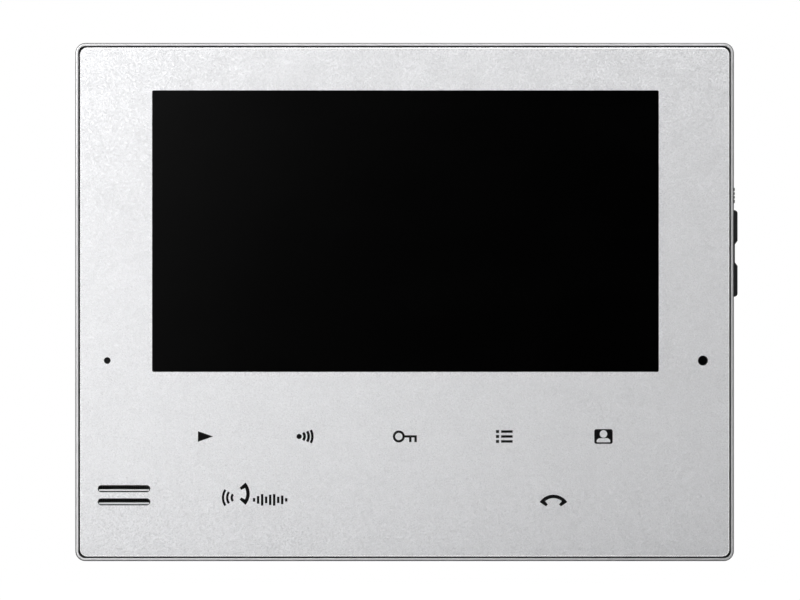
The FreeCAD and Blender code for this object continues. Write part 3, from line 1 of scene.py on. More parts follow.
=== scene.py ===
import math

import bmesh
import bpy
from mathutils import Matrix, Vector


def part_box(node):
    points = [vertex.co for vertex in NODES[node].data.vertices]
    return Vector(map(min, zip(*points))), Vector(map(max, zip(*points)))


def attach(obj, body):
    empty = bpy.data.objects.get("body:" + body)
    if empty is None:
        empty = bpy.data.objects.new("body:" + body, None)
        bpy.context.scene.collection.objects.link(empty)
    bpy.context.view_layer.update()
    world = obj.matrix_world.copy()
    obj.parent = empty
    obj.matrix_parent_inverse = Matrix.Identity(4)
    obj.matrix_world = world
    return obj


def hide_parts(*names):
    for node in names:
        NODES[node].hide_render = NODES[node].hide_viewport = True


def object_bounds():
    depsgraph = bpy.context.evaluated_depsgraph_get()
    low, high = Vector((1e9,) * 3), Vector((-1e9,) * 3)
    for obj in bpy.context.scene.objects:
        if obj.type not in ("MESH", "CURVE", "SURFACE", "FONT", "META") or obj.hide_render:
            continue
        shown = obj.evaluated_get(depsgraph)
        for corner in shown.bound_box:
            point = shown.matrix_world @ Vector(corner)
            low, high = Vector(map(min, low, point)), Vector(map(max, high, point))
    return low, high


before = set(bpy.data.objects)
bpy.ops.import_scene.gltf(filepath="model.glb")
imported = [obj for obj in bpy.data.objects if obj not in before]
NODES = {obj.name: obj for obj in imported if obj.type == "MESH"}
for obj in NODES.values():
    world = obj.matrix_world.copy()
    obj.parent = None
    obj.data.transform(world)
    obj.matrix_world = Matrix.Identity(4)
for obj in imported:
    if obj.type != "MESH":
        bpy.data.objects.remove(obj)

# Looks of a wall-mounted video intercom monitor: materials for every CAD node, the printed
# symbols, the soft pieces and the studio. The soft pieces fill the boxes of the CAD nodes that
# they replace. The front faces -Y, +X is right and +Z is up.
# Blender works in metres. Sizes of patterns, symbols and pieces are written in millimetres and
# turned into metres by MM. The studio is written in metres.

MM = 0.001
CAD_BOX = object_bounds()
PANEL_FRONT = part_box("front_panel")[0].y
PANEL_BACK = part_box("front_panel")[1].y
TOWARDS_VIEWER = (0, -1, 0)
FULL_TURN = 2 * math.pi
NOISE_LOW, NOISE_HIGH = 0.3, 0.7  # nearly all values of a noise texture lie between these


# ---------------------------------------------------------------- building materials


def grey(level):
    """A neutral colour."""
    return (level, level, level, 1.0)


def colour(red, green, blue):
    """A linear colour."""
    return (red, green, blue, 1.0)


class Nodes:
    """Builds the node tree of a material or of the world."""

    def __init__(self, owner):
        owner.use_nodes = True
        self.tree = owner.node_tree
        self.tree.nodes.clear()

    def plug(self, socket, value):
        """Links another socket to this one, or sets its value."""
        if isinstance(value, bpy.types.NodeSocket):
            self.tree.links.new(value, socket)
        else:
            socket.default_value = value

    def add(self, kind, inputs=None, **settings):
        """A node with its settings made and its inputs filled."""
        node = self.tree.nodes.new(f"ShaderNode{kind}")
        for name, value in settings.items():
            setattr(node, name, value)
        for name, value in (inputs or {}).items():
            self.plug(node.inputs[name], value)
        return node

    def math(self, operation, first, second=0.0):
        """A sum on two values."""
        return self.add("Math", {0: first, 1: second}, operation=operation).outputs[0]

    def range(self, value, low, high, to_low=0.0, to_high=1.0, **settings):
        """Maps low to to_low and high to to_high, with both ends clamped."""
        inputs = {0: value, 1: low, 2: high, 3: to_low, 4: to_high}
        return self.add("MapRange", inputs, **settings).outputs[0]


class Look(Nodes):
    """One material. Its patterns follow the piece, so they move with its body."""

    def __init__(self, name):
        self.material = bpy.data.materials.new(name)
        super().__init__(self.material)
        self.place = self.add("TexCoord").outputs["Object"]

    def vector(self, operation, first, second=(0, 0, 0)):
        """A sum on two vectors that gives a vector."""
        return self.add("VectorMath", {0: first, 1: second}, operation=operation).outputs[0]

    def stretched(self, x, y, z):
        """The piece's own coordinates, with each axis multiplied."""
        return self.vector("MULTIPLY", self.place, (x, y, z))

    def noise(self, size, detail=2.0, stretch=(1, 1, 1)):
        """Soft noise with blobs about this many millimetres across."""
        inputs = {"Vector": self.stretched(*stretch), "Scale": 1 / (size * MM), "Detail": detail}
        return self.add("TexNoise", inputs).outputs[0]

    def varied(self, noise, low, high):
        """Spreads soft noise between two values."""
        return self.range(noise, NOISE_LOW, NOISE_HIGH, low, high)

    def cells(self, size, output="Color", distance="EUCLIDEAN", vector=None):
        """Random cells about this many millimetres across."""
        inputs = {"Vector": vector or self.place, "Scale": 1 / (size * MM)}
        return self.add("TexVoronoi", inputs, distance=distance).outputs[output]

    def lines(self, spacing, axis):
        """Even ridges across one axis, from 0 to 1 and back in each spacing."""
        waves_per_unit = 20.0
        scale = FULL_TURN / (spacing * MM * waves_per_unit)
        inputs = {"Vector": self.place, "Scale": scale}
        return self.add("TexWave", inputs, bands_direction=axis).outputs[1]

    def across(self, axis):
        """One of the piece's own coordinates."""
        return self.add("SeparateXYZ", {0: self.place}).outputs[axis]

    def mix(self, factor, first, second):
        """A colour between two colours."""
        return self.add("Mix", {0: factor, 6: first, 7: second}, data_type="RGBA").outputs[2]

    def tinted(self, base, amount):
        """A colour made lighter or darker by a factor."""
        factor = self.add("CombineColor", {0: amount, 1: amount, 2: amount}).outputs[0]
        inputs = {0: 1.0, 6: base, 7: factor}
        return self.add("Mix", inputs, data_type="RGBA", blend_type="MULTIPLY").outputs[2]

    def rounded(self, radius):
        """Surface direction with every sharp edge softened by this many millimetres."""
        return self.add("Bevel", {"Radius": radius * MM}, samples=4).outputs[0]

    def bump(self, height, depth, normal=None):
        """Relief this many millimetres deep."""
        inputs = {"Height": height, "Distance": depth * MM, "Strength": 1.0}
        if normal is not None:
            inputs["Normal"] = normal
        return self.add("Bump", inputs).outputs[0]

    def facing(self, direction):
        """How squarely the surface faces a direction, from -1 to 1."""
        normal = self.add("NewGeometry").outputs["Normal"]
        return self.add("VectorMath", {0: normal, 1: direction}, operation="DOT_PRODUCT").outputs[1]

    def edge_wear(self, radius):
        """About 1 on sharp outer and inner edges and 0 on flat faces."""
        edge, flat = 0.80, 0.98
        return self.range(self.facing(self.rounded(radius)), flat, edge)

    def flop_and_edge_shade(self, base):
        """Flake paint looks darker the more it is seen edge-on; the darkening here goes far past
        real flop and is partly painted shade on faces seen edge-on, such as the rim's rounding and
        the walls of the shadow gap.
        """
        starts, ends, darkest = 0.45, 0.95, 0.10
        turned = self.add("LayerWeight", {"Blend": 0.5}).outputs["Facing"]
        return self.tinted(base, self.range(turned, starts, ends, 1.0, darkest))

    def shade(self, inputs):
        """Ends the tree with a principled surface."""
        surface = self.add("BsdfPrincipled", inputs)
        self.add("OutputMaterial", {0: surface.outputs[0]})
        return self.material


# ---------------------------------------------------------------- outside materials


def silver_panel():
    """Silver paint with fine metal flakes and bare bright chamfers; the cut sides are painted near
    black as painted shade of the shadow gap.
    """
    look = Look("flake_silver_paint")
    flake_size, flake_lean = 0.36, 0.24
    flat_front, cut_side = 0.95, 0.3
    ahead = look.facing(TOWARDS_VIEWER)
    bare = look.math("LESS_THAN", ahead, flat_front)
    side = look.math("LESS_THAN", ahead, cut_side)
    flakes = look.cells(flake_size)
    centred = look.vector("SUBTRACT", flakes, (0.5, 0.5, 0.5))
    lean = look.vector("MULTIPLY", centred, look.range(bare, 0, 1, flake_lean, 0.0))
    normal = look.vector("NORMALIZE", look.vector("ADD", look.rounded(0.05), lean))
    flake_tone = look.range(look.add("SeparateColor", {0: flakes}).outputs[0], 0, 1, 0.88, 1.12)
    cloud = look.varied(look.noise(14, 3), 0.99, 1.01)
    silver, bright_metal, gap_shade_black = colour(0.780, 0.782, 0.797), grey(0.97), grey(0.01)
    base = look.tinted(silver, look.math("MULTIPLY", flake_tone, cloud))
    # painted shade: the cut sides of the panel are coloured near black and not metallic, for the
    # shade in the gap around it
    edged = look.mix(side, look.mix(bare, base, bright_metal), gap_shade_black)
    satin = look.varied(look.noise(5, 2), 0.40, 0.46)
    rough = look.math("SUBTRACT", satin, look.math("MULTIPLY", bare, 0.2))
    metallic = look.math("SUBTRACT", look.range(bare, 0, 1, 0.55, 1.0), side)
    inputs = {"Base Color": edged, "Metallic": metallic, "Roughness": rough, "Normal": normal}
    return look.shade(inputs)


def silver_case():
    """Satin silver paint. It is black under the front panel, partly as bare plastic and partly as
    painted shade of the shadow gap, and black on the round edge of the rim as painted shade.
    """
    look = Look("satin_silver_paint")
    peel = look.noise(0.9, 2)
    grain = look.noise(0.12, 1)
    height = look.math("ADD", peel, look.math("MULTIPLY", grain, 0.5))
    normal = look.bump(height, 0.004, look.rounded(0.12))
    cloud = look.varied(look.noise(22, 3), 0.97, 1.03)
    base = look.tinted(colour(0.70, 0.70, 0.708), cloud)
    ahead = look.facing(TOWARDS_VIEWER)
    # painted shade: the recess floor under the panel is black, partly bare plastic and partly the
    # shade of the shadow gap; the rim's round edge is black as painted shade where it turns from the
    # light
    behind_panel = look.math("GREATER_THAN", look.across(1), PANEL_BACK + 0.1 * MM)
    under_panel = look.math("MULTIPLY", behind_panel, look.math("GREATER_THAN", ahead, 0.9))
    shaded_round_edge = look.math("MULTIPLY", look.range(ahead, 0.02, 0.2), look.range(ahead, 0.98, 0.82))
    black = look.math("MAXIMUM", under_panel, shaded_round_edge)
    # the edge-on darkening is partly flake flop and partly painted shade
    surface = look.mix(black, look.flop_and_edge_shade(base), grey(0.012))
    metallic = look.range(black, 0, 1, 0.6, 0.0)
    rough = look.range(look.edge_wear(0.15), 0, 1, 0.34, 0.22)
    inputs = {"Base Color": surface, "Metallic": metallic, "Roughness": rough, "Normal": normal}
    inputs.update({"Specular Tint": look.flop_and_edge_shade(grey(1.0)), "Specular IOR Level": 0.1})
    return look.shade(inputs)


def black_glass():
    """Polished smoked acrylic, near black, with a very faint haze."""
    look = Look("smoked_acrylic")
    haze = look.noise(30, 4, (1, 1, 2.4))
    rough = look.range(haze, 0.35, 0.75, 0.018, 0.05)
    base = look.mix(look.range(haze, 0.4, 0.8), grey(0.0002), grey(0.0005))
    inputs = {"Base Color": base, "Roughness": rough, "IOR": 1.49, "Specular IOR Level": 0.45}
    inputs["Normal"] = look.rounded(0.06)
    return look.shade(inputs)


def moulded(name, base, deep, grain_size, rough, wear):
    """Moulded plastic with a spark-eroded grain, rubbed smoother and paler along its edges."""
    look = Look(name)
    grain = look.noise(grain_size, 3)
    pits = look.range(look.cells(grain_size * 1.6, "Distance"), 0.0, 0.6)
    height = look.math("ADD", grain, look.math("MULTIPLY", pits, 0.6))
    normal = look.bump(height, deep, look.rounded(0.15))
    worn = look.math("MULTIPLY", look.edge_wear(0.25), look.range(look.noise(4, 3), 0.4, 0.65))
    cloud = look.varied(look.noise(35, 3), 0.92, 1.08)
    speck = look.varied(grain, 0.9, 1.1)
    toned = look.tinted(base, look.math("MULTIPLY", cloud, speck))
    pale = tuple(min(1.0, part * wear) for part in base[:3]) + (1.0,)
    surface = look.mix(worn, toned, pale)
    shine = look.range(worn, 0, 1, rough, rough - 0.16)
    return look.shade({"Base Color": surface, "Roughness": shine, "Normal": normal})


def rear_plastic():
    """Charcoal rear case."""
    base = colour(0.038, 0.039, 0.042)
    return moulded("charcoal_plastic", base, deep=0.03, grain_size=0.34, rough=0.58, wear=1.9)


def key_plastic():
    """Black side keys and switch parts."""
    base = colour(0.012, 0.012, 0.013)
    return moulded("black_key_plastic", base, deep=0.008, grain_size=0.18, rough=0.42, wear=2.4)


def terminal():
    """Glass-filled terminal block plastic."""
    base = colour(0.13, 0.14, 0.15)
    return moulded("terminal_plastic", base, deep=0.012, grain_size=0.25, rough=0.5, wear=1.6)


def socket():
    """Ivory nylon cable sockets."""
    base = colour(0.66, 0.62, 0.50)
    return moulded("ivory_nylon", base, deep=0.008, grain_size=0.2, rough=0.45, wear=1.1)


def metal(name, base, rough, streaks, grain_deep, spots=None):
    """Metal with brushed streaks, slow tone changes and softened edges."""
    look = Look(name)
    brushed = look.noise(0.25, 3, streaks)
    cloud = look.noise(12, 4)
    normal = look.bump(brushed, grain_deep, look.rounded(0.12))
    streak_tone = look.varied(brushed, 0.93, 1.07)
    cloud_tone = look.varied(cloud, 0.9, 1.08)
    surface = look.tinted(base, look.math("MULTIPLY", streak_tone, cloud_tone))
    if spots is not None:
        spotted = look.range(look.noise(3, 5), 0.55, 0.72, 0.0, 0.5)
        surface = look.mix(spotted, surface, spots)
    patches = look.varied(cloud, rough - 0.05, rough + 0.08)
    shine = look.math("ADD", patches, look.range(brushed, 0, 1, 0, 0.06))
    inputs = {"Base Color": surface, "Metallic": 1.0, "Roughness": shine, "Normal": normal}
    return look.shade(inputs)


def plated_steel():
    """Zinc-plated sheet with a faint blue passivation and rolling marks."""
    blue = colour(0.50, 0.55, 0.62)
    base = colour(0.66, 0.67, 0.68)
    rolled = (1, 1, 0.06)
    return metal("zinc_plated_steel", base, rough=0.30, streaks=rolled, grain_deep=0.004, spots=blue)


def screw_steel():
    """Nickel-plated screws."""
    base = colour(0.62, 0.60, 0.57)
    return metal("nickel_plate", base, rough=0.24, streaks=(1, 1, 1), grain_deep=0.006)


def copper():
    """Bare copper with a light tarnish."""
    dull = colour(0.45, 0.20, 0.10)
    base = colour(0.86, 0.45, 0.30)
    return metal("bare_copper", base, rough=0.28, streaks=(1, 1, 1), grain_deep=0.002, spots=dull)


def brass():
    """Brass clamp plates."""
    dull = colour(0.50, 0.38, 0.16)
    base = colour(0.80, 0.62, 0.32)
    return metal("brass_plate", base, rough=0.27, streaks=(0.1, 1, 1), grain_deep=0.004, spots=dull)


def lens():
    """Smoked light pipe: dark, with a paler middle in front of its lamp."""
    look = Look("smoked_lens")
    pale_radius, dark_radius = 0.25 * MM, 0.75 * MM
    low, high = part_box("indicator_lens")
    offset = look.vector("SUBTRACT", look.place, (low + high) / 2)
    flat = look.vector("MULTIPLY", offset, (1, 0, 1))
    radius = look.add("VectorMath", {0: flat}, operation="LENGTH").outputs[1]
    centre = look.range(radius, pale_radius, dark_radius, 1, 0)
    cloudy = look.math("MULTIPLY", centre, look.varied(look.noise(0.3), 0.8, 1.2))
    inputs = {"Base Color": look.mix(cloudy, grey(0.001), grey(0.008)), "Roughness": 0.12}
    inputs.update({"Specular IOR Level": 0.25, "Normal": look.bump(look.noise(0.2), 0.004)})
    return look.shade(inputs)


def ink():
    """Matt black screen print with a trace of the mesh it was printed through."""
    look = Look("screen_print_ink")
    weave = look.math("ADD", look.lines(0.12, "X"), look.lines(0.12, "Z"))
    base = look.mix(look.range(weave, 0, 2), colour(0.0012, 0.0012, 0.0016), grey(0.004))
    normal = look.bump(weave, 0.001)
    inputs = {"Base Color": base, "Roughness": 0.7, "Specular IOR Level": 0.06, "Normal": normal}
    return look.shade(inputs)


def mark_paint():
    """Pale grey paint in the marks of the volume rocker."""
    look = Look("mark_paint")
    base = look.tinted(grey(0.62), look.varied(look.noise(0.3, 3), 0.9, 1.05))
    normal = look.bump(look.noise(0.15, 2), 0.006)
    return look.shade({"Base Color": base, "Roughness": 0.6, "Normal": normal})


# ---------------------------------------------------------------- inside materials


def board():
    """Green solder mask over copper tracks, with plated through holes."""
    look = Look("circuit_board")
    blocks = look.cells(5.0, distance="MANHATTAN", vector=look.stretched(1, 0.01, 1))
    pick = look.add("SeparateColor", {0: blocks}).outputs
    tracks_x = look.range(look.lines(0.9, "X"), 0.55, 0.65)
    tracks_z = look.range(look.lines(0.9, "Z"), 0.55, 0.65)
    turned = look.math("GREATER_THAN", pick[0], 0.5)
    along = look.math("MULTIPLY", tracks_x, turned)
    up = look.math("MULTIPLY", tracks_z, look.math("SUBTRACT", 1.0, turned))
    used = look.math("GREATER_THAN", pick[1], 0.3)
    tracks = look.math("MULTIPLY", look.math("ADD", along, up), used)
    holes = look.range(look.cells(2.4, "Distance", vector=look.stretched(1, 0.01, 1)), 0.14, 0.11)
    mask = look.mix(tracks, colour(0.010, 0.085, 0.040), colour(0.022, 0.15, 0.065))
    base = look.mix(holes, mask, colour(0.62, 0.60, 0.52))
    height = look.math("SUBTRACT", tracks, holes)
    normal = look.bump(height, 0.03, look.rounded(0.05))
    inputs = {"Base Color": base, "Metallic": holes, "Roughness": 0.32, "Normal": normal}
    inputs["Coat Weight"] = 0.3
    return look.shade(inputs)


def granular(name, base, rough, size, deep, spread=0.15):
    """A matt solid with a fine even grain."""
    look = Look(name)
    grain = look.noise(size, 4)
    cloud = look.noise(size * 25, 3)
    tone = look.math("ADD", grain, look.math("MULTIPLY", cloud, 0.6))
    toned = look.tinted(base, look.range(tone, 0.5, 1.1, 1 - spread, 1 + spread))
    normal = look.bump(grain, deep, look.rounded(0.08))
    shine = look.varied(cloud, rough - 0.05, rough + 0.05)
    return look.shade({"Base Color": toned, "Roughness": shine, "Normal": normal})


def chip():
    """Moulded epoxy chip packages."""
    base = colour(0.016, 0.016, 0.018)
    return granular("chip_epoxy", base, rough=0.55, size=0.12, deep=0.006)


def ferrite():
    """Sintered ferrite."""
    base = colour(0.045, 0.043, 0.042)
    return granular("sintered_ferrite", base, rough=0.5, size=0.2, deep=0.02, spread=0.25)


def rubber():
    """Black moulded rubber with a bloom."""
    base = colour(0.018, 0.018, 0.019)
    return granular("black_rubber", base, rough=0.72, size=0.25, deep=0.01, spread=0.3)


def paper():
    """Dark pressed paper pulp."""
    base = colour(0.045, 0.043, 0.040)
    return granular("paper_pulp", base, rough=0.85, size=0.35, deep=0.03, spread=0.35)


def adhesive():
    """Black double-sided adhesive film."""
    base = colour(0.010, 0.010, 0.011)
    return granular("adhesive_film", base, rough=0.6, size=1.2, deep=0.01)


def capacitor():
    """Brushed aluminium cans."""
    base = colour(0.78, 0.78, 0.79)
    return metal("aluminium_can", base, rough=0.30, streaks=(1, 0.05, 1), grain_deep=0.003)


def flex():
    """Amber polyimide with copper lines showing through."""
    look = Look("polyimide_cable")
    lines = look.range(look.lines(1.0, "X"), 0.45, 0.6)
    weave = look.noise(3, 3)
    film = look.tinted(colour(0.50, 0.22, 0.035), look.varied(weave, 0.85, 1.15))
    base = look.mix(lines, film, colour(0.62, 0.30, 0.08))
    normal = look.bump(lines, 0.02)
    inputs = {"Base Color": base, "Metallic": look.math("MULTIPLY", lines, 0.4), "Roughness": 0.26}
    inputs["Normal"] = normal
    return look.shade(inputs)


def wire():
    """PVC lead insulation, each lead either red or black."""
    look = Look("lead_insulation")
    island = look.add("NewGeometry").outputs["Random Per Island"]
    pick = look.math("GREATER_THAN", island, 0.5)
    base = look.mix(pick, colour(0.015, 0.015, 0.016), colour(0.42, 0.02, 0.015))
    toned = look.tinted(base, look.varied(look.noise(2, 3), 0.85, 1.15))
    normal = look.bump(look.noise(0.3, 2), 0.01)
    return look.shade({"Base Color": toned, "Roughness": 0.4, "Normal": normal})


def foam():
    """Charcoal foam with open pores."""
    look = Look("open_cell_foam")
    pores = look.cells(0.45, "Distance")
    fine = look.cells(0.18, "Distance")
    height = look.math("ADD", pores, look.math("MULTIPLY", fine, 0.4))
    # painted shade: the hollows of the pores are coloured darker than the foam around them
    base = look.mix(look.range(pores, 0.05, 0.6), grey(0.006), grey(0.05))
    inputs = {"Base Color": base, "Roughness": 0.95, "Normal": look.bump(height, 0.15)}
    inputs["Sheen Weight"] = 0.2
    return look.shade(inputs)


def cloth():
    """Black polyester threads with a faint sheen."""
    look = Look("acoustic_cloth")
    fibres = look.noise(0.05)
    base = look.tinted(grey(0.005), look.varied(fibres, 0.6, 1.5))
    inputs = {"Base Color": base, "Roughness": 0.7, "Normal": look.bump(fibres, 0.01)}
    inputs["Sheen Weight"] = 0.3
    return look.shade(inputs)


def cell():
    """Liquid crystal cell: dark glass with the pixel grid just visible."""
    look = Look("display_cell")
    columns = look.range(look.lines(0.19, "X"), 0.8, 1)
    rows = look.range(look.lines(0.19, "Z"), 0.8, 1)
    grid = look.math("MAXIMUM", columns, rows)
    base = look.mix(grid, colour(0.010, 0.011, 0.016), grey(0.003))
    rough = look.varied(look.noise(8, 2), 0.1, 0.2)
    return look.shade({"Base Color": base, "Roughness": rough})


def light_guide():
    """White acrylic light guide with its printed dots."""
    look = Look("light_guide_acrylic")
    dots = look.range(look.cells(1.1, "Distance"), 0.22, 0.28)
    base = look.mix(dots, grey(0.9), colour(0.74, 0.76, 0.78))
    inputs = {"Base Color": base, "Roughness": 0.25, "Subsurface Weight": 0.3}
    inputs["Subsurface Radius"] = (2 * MM, 2 * MM, 2 * MM)
    return look.shade(inputs)


MAKERS = (
    silver_panel, silver_case, black_glass, rear_plastic, key_plastic, plated_steel, screw_steel,
    board, chip, ferrite, capacitor, socket, copper, brass, terminal, flex, wire, foam, adhesive,
    cloth, paper, rubber, cell, light_guide, lens,
)
MADE = {make.__name__: make() for make in MAKERS}


def microphone_can():
    """Aluminium microphone can with black felt over its front."""
    look = Look("microphone_can_and_felt")
    felt = look.math("GREATER_THAN", look.facing(TOWARDS_VIEWER), 0.9)
    fibres = look.noise(0.12, 4, (1, 1, 0.3))
    base = look.mix(felt, colour(0.75, 0.75, 0.76), look.tinted(grey(0.006), fibres))
    inputs = {"Base Color": base, "Metallic": look.math("SUBTRACT", 1.0, felt)}
    inputs["Roughness"] = look.range(felt, 0, 1, 0.3, 0.95)
    inputs["Normal"] = look.bump(fibres, 0.03)
    return look.shade(inputs)


def dress_cad_nodes():
    """Gives every CAD node the material that its slot names."""
    for node in NODES.values():
        for slot in node.material_slots:
            slot.material = MADE[slot.material.name]
    NODES["microphone"].material_slots[0].material = microphone_can()


# ---------------------------------------------------------------- pieces


def add_piece(name, mesh, look, body="housing"):
    """Puts a mesh in the scene as a piece of the object that moves with one CAD body."""
    piece = bpy.data.objects.new(name, mesh)
    bpy.context.scene.collection.objects.link(piece)
    mesh.materials.append(look)
    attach(piece, body)
    return piece


def mesh_from(name, points, faces, smooth=True):
    """A mesh with outward faces."""
    mesh = bpy.data.meshes.new(name)
    mesh.from_pydata(points, [], faces)
    work = bmesh.new()
    work.from_mesh(mesh)
    bmesh.ops.recalc_face_normals(work, faces=work.faces)
    work.to_mesh(mesh)
    work.free()
    mesh.polygons.foreach_set("use_smooth", [smooth] * len(mesh.polygons))
    return mesh


def grid_faces(rows, columns):
    """Quads of a grid of points that closes on itself both ways."""
    faces = []
    for row in range(rows):
        for column in range(columns):
            a = row * columns + column
            b = row * columns + (column + 1) % columns
            c = (row + 1) % rows * columns + (column + 1) % columns
            d = (row + 1) % rows * columns + column
            faces.append((a, b, c, d))
    return faces


# ---------------------------------------------------------------- printed symbols

INK = ink()
INK_THICK = 0.02
UPPER_ROW = -40.2


def disc(x, up, radius):
    """A round outline."""
    steps = 48
    turns = [FULL_TURN * step / steps for step in range(steps)]
    return [(x + radius * math.cos(turn), up + radius * math.sin(turn)) for turn in turns]


def bar(left, right, low, high):
    """An upright rectangle."""
    return [(left, low), (right, low), (right, high), (left, high)]


def arc(x, up, radius, start, end, steps=16):
    """Points along an arc, with its ends in degrees."""
    points = []
    for step in range(steps + 1):
        turn = math.radians(start + (end - start) * step / steps)
        points.append((x + radius * math.cos(turn), up + radius * math.sin(turn)))
    return points


def band(x, up, inner, outer, start, end):
    """A piece of a ring."""
    return arc(x, up, outer, start, end) + arc(x, up, inner, end, start)


def rounded_bar(left, right, low, high, low_round, high_round):
    """An upright rectangle with round corners."""
    return (
        arc(right - high_round, high - high_round, high_round, 0, 90, 8)
        + arc(left + high_round, high - high_round, high_round, 90, 180, 8)
        + arc(left + low_round, low + low_round, low_round, 180, 270, 8)
        + arc(right - low_round, low + low_round, low_round, 270, 360, 8)
    )


def handset(x, up, facing, spread):
    """A telephone handset: a curved grip with a pad at each end. Angles are in degrees."""
    grip_inner, grip_outer, pad_inner = 3.95, 5.0, 2.65
    pad = 17
    ends = (facing - spread, facing + spread)
    return (
        arc(x, up, grip_outer, ends[0], ends[1], 24)
        + arc(x, up, pad_inner, ends[1], ends[1] - pad, 6)
        + arc(x, up, grip_inner, ends[1] - pad, ends[0] + pad, 20)
        + arc(x, up, pad_inner, ends[0] + pad, ends[0], 6)
    )


def flat_mesh(name, shapes, thick):
    """A thin mesh of shapes, each one an outline and the holes in it, standing up and facing -Y."""
    whole = bmesh.new()
    for outlines in shapes:
        curve = bpy.data.curves.new(name, "CURVE")
        curve.dimensions = "2D"
        curve.fill_mode = "BOTH"
        curve.extrude = thick * MM / 2
        for outline in outlines:
            spline = curve.splines.new("POLY")
            spline.points.add(len(outline) - 1)
            for point, (x, up) in zip(spline.points, outline):
                point.co = (x * MM, up * MM, 0, 1)
            spline.use_cyclic_u = True
        holder = bpy.data.objects.new(name, curve)
        part = bpy.data.meshes.new_from_object(holder)
        whole.from_mesh(part)
        bpy.data.objects.remove(holder)
        bpy.data.meshes.remove(part)
        bpy.data.curves.remove(curve)
    bmesh.ops.remove_doubles(whole, verts=whole.verts, dist=1e-7)
    for vertex in whole.verts:
        vertex.co = Vector((vertex.co.x, -vertex.co.z, vertex.co.y))
    mesh = bpy.data.meshes.new(name)
    whole.to_mesh(mesh)
    whole.free()
    return mesh


def print_symbol(name, shapes):
    """Screen prints a symbol on the silver panel."""
    mesh = flat_mesh(name, shapes, INK_THICK)
    for vertex in mesh.vertices:
        vertex.co.y += PANEL_FRONT
    add_piece(name, mesh, INK)


def print_play():
    """A solid triangle."""
    left, tip, half_tall = -61.8, -57.25, 1.6
    triangle = [(left, UPPER_ROW - half_tall), (tip, UPPER_ROW), (left, UPPER_ROW + half_tall)]
    print_symbol("symbol_play", [[triangle]])


def print_chime():
    """A dot with three sound arcs."""
    x, dot = -31.54, 0.78
    arcs = ((1.22, 2.05, 44), (2.45, 3.24, 33), (3.60, 4.34, 29))
    shapes = [[disc(x, UPPER_ROW, dot)]]
    for inner, outer, spread in arcs:
        shapes.append([band(x, UPPER_ROW, inner, outer, -spread, spread)])
    print_symbol("symbol_chime", shapes)


def print_key():
    """A key that lies down, for the door release."""
    bow, bow_outer, bow_inner = -1.73, 1.8, 1.08
    shaft_start, shaft_end = 0.02, 3.66
    shaft_top, shaft_low, teeth_low = UPPER_ROW + 0.36, UPPER_ROW - 0.32, UPPER_ROW - 1.7
    tooth_start, tooth_end, last_tooth = 1.34, 2.06, 2.92
    shaft = [
        (shaft_start, shaft_low), (tooth_start, shaft_low), (tooth_start, teeth_low),
        (tooth_end, teeth_low), (tooth_end, shaft_low), (last_tooth, shaft_low),
        (last_tooth, teeth_low), (shaft_end, teeth_low),
        (shaft_end, shaft_top), (shaft_start, shaft_top),
    ]
    bow_ring = [disc(bow, UPPER_ROW, bow_outer), disc(bow, UPPER_ROW, bow_inner)]
    print_symbol("symbol_key", [bow_ring, [shaft]])


def print_list():
    """Three dots, each with a line, for the menu."""
    pitch, half_dot, half_line = 1.48, 0.45, 0.38
    dot_left, dot_right, line_left, line_right = 27.3, 28.25, 28.85, 32.3
    shapes = []
    for up in (UPPER_ROW - pitch, UPPER_ROW, UPPER_ROW + pitch):
        shapes.append([bar(dot_left, dot_right, up - half_dot, up + half_dot)])
        shapes.append([bar(line_left, line_right, up - half_line, up + half_line)])
    print_symbol("symbol_list", shapes)


def print_visitor():
    """A head and shoulders cut out of a solid frame."""
    x, half_wide, half_tall, corner = 59.46, 2.74, 2.2, 0.6
    left, right = x - half_wide, x + half_wide
    low, high = UPPER_ROW - half_tall, UPPER_ROW + half_tall
    head_up, head_radius = UPPER_ROW + 0.75, 1.13
    body_left, body_right, body_low, body_high = 57.4, 61.5, UPPER_ROW - 1.72, UPPER_ROW - 0.52
    outline = rounded_bar(left, right, low, high, corner, corner)
    head = disc(x, head_up, head_radius)
    shoulders = rounded_bar(body_left, body_right, body_low, body_high, 0.22, 1.0)
    print_symbol("symbol_visitor", [[outline, head, shoulders]])


def print_talk():
    """Sound arcs, a handset and a row of voice bars."""
    row = -58.5
    arcs_x, arcs = -50.2, ((4.1, 35), (2.85, 36), (1.5, 42))
    handset_x, handset_up, handset_spread = -51.3, row + 1.2, 42
    voice = (1.1, 2.3, 3.45, 2.0, 3.1, 3.45, 1.9, 2.6, 1.0)
    bars_up, first_bar, pitch, half_wide = row - 0.65, -45.0, 1.2, 0.36
    shapes = []
    for radius, spread in arcs:
        inner, outer = radius - 0.34, radius + 0.36
        shapes.append([band(arcs_x, row, inner, outer, 180 - spread, 180 + spread)])
    shapes.append([handset(handset_x, handset_up, 0, handset_spread)])
    for step, tall in enumerate(voice):
        x = first_bar + pitch * step
        shapes.append([bar(x - half_wide, x + half_wide, bars_up - tall / 2, bars_up + tall / 2)])
    print_symbol("symbol_talk", shapes)


def print_end_call():
    """A laid-down handset."""
    x, up, spread = 44.5, -62.6, 56
    print_symbol("symbol_end_call", [[handset(x, up, 90, spread)]])


# ---------------------------------------------------------------- marks on the rocker


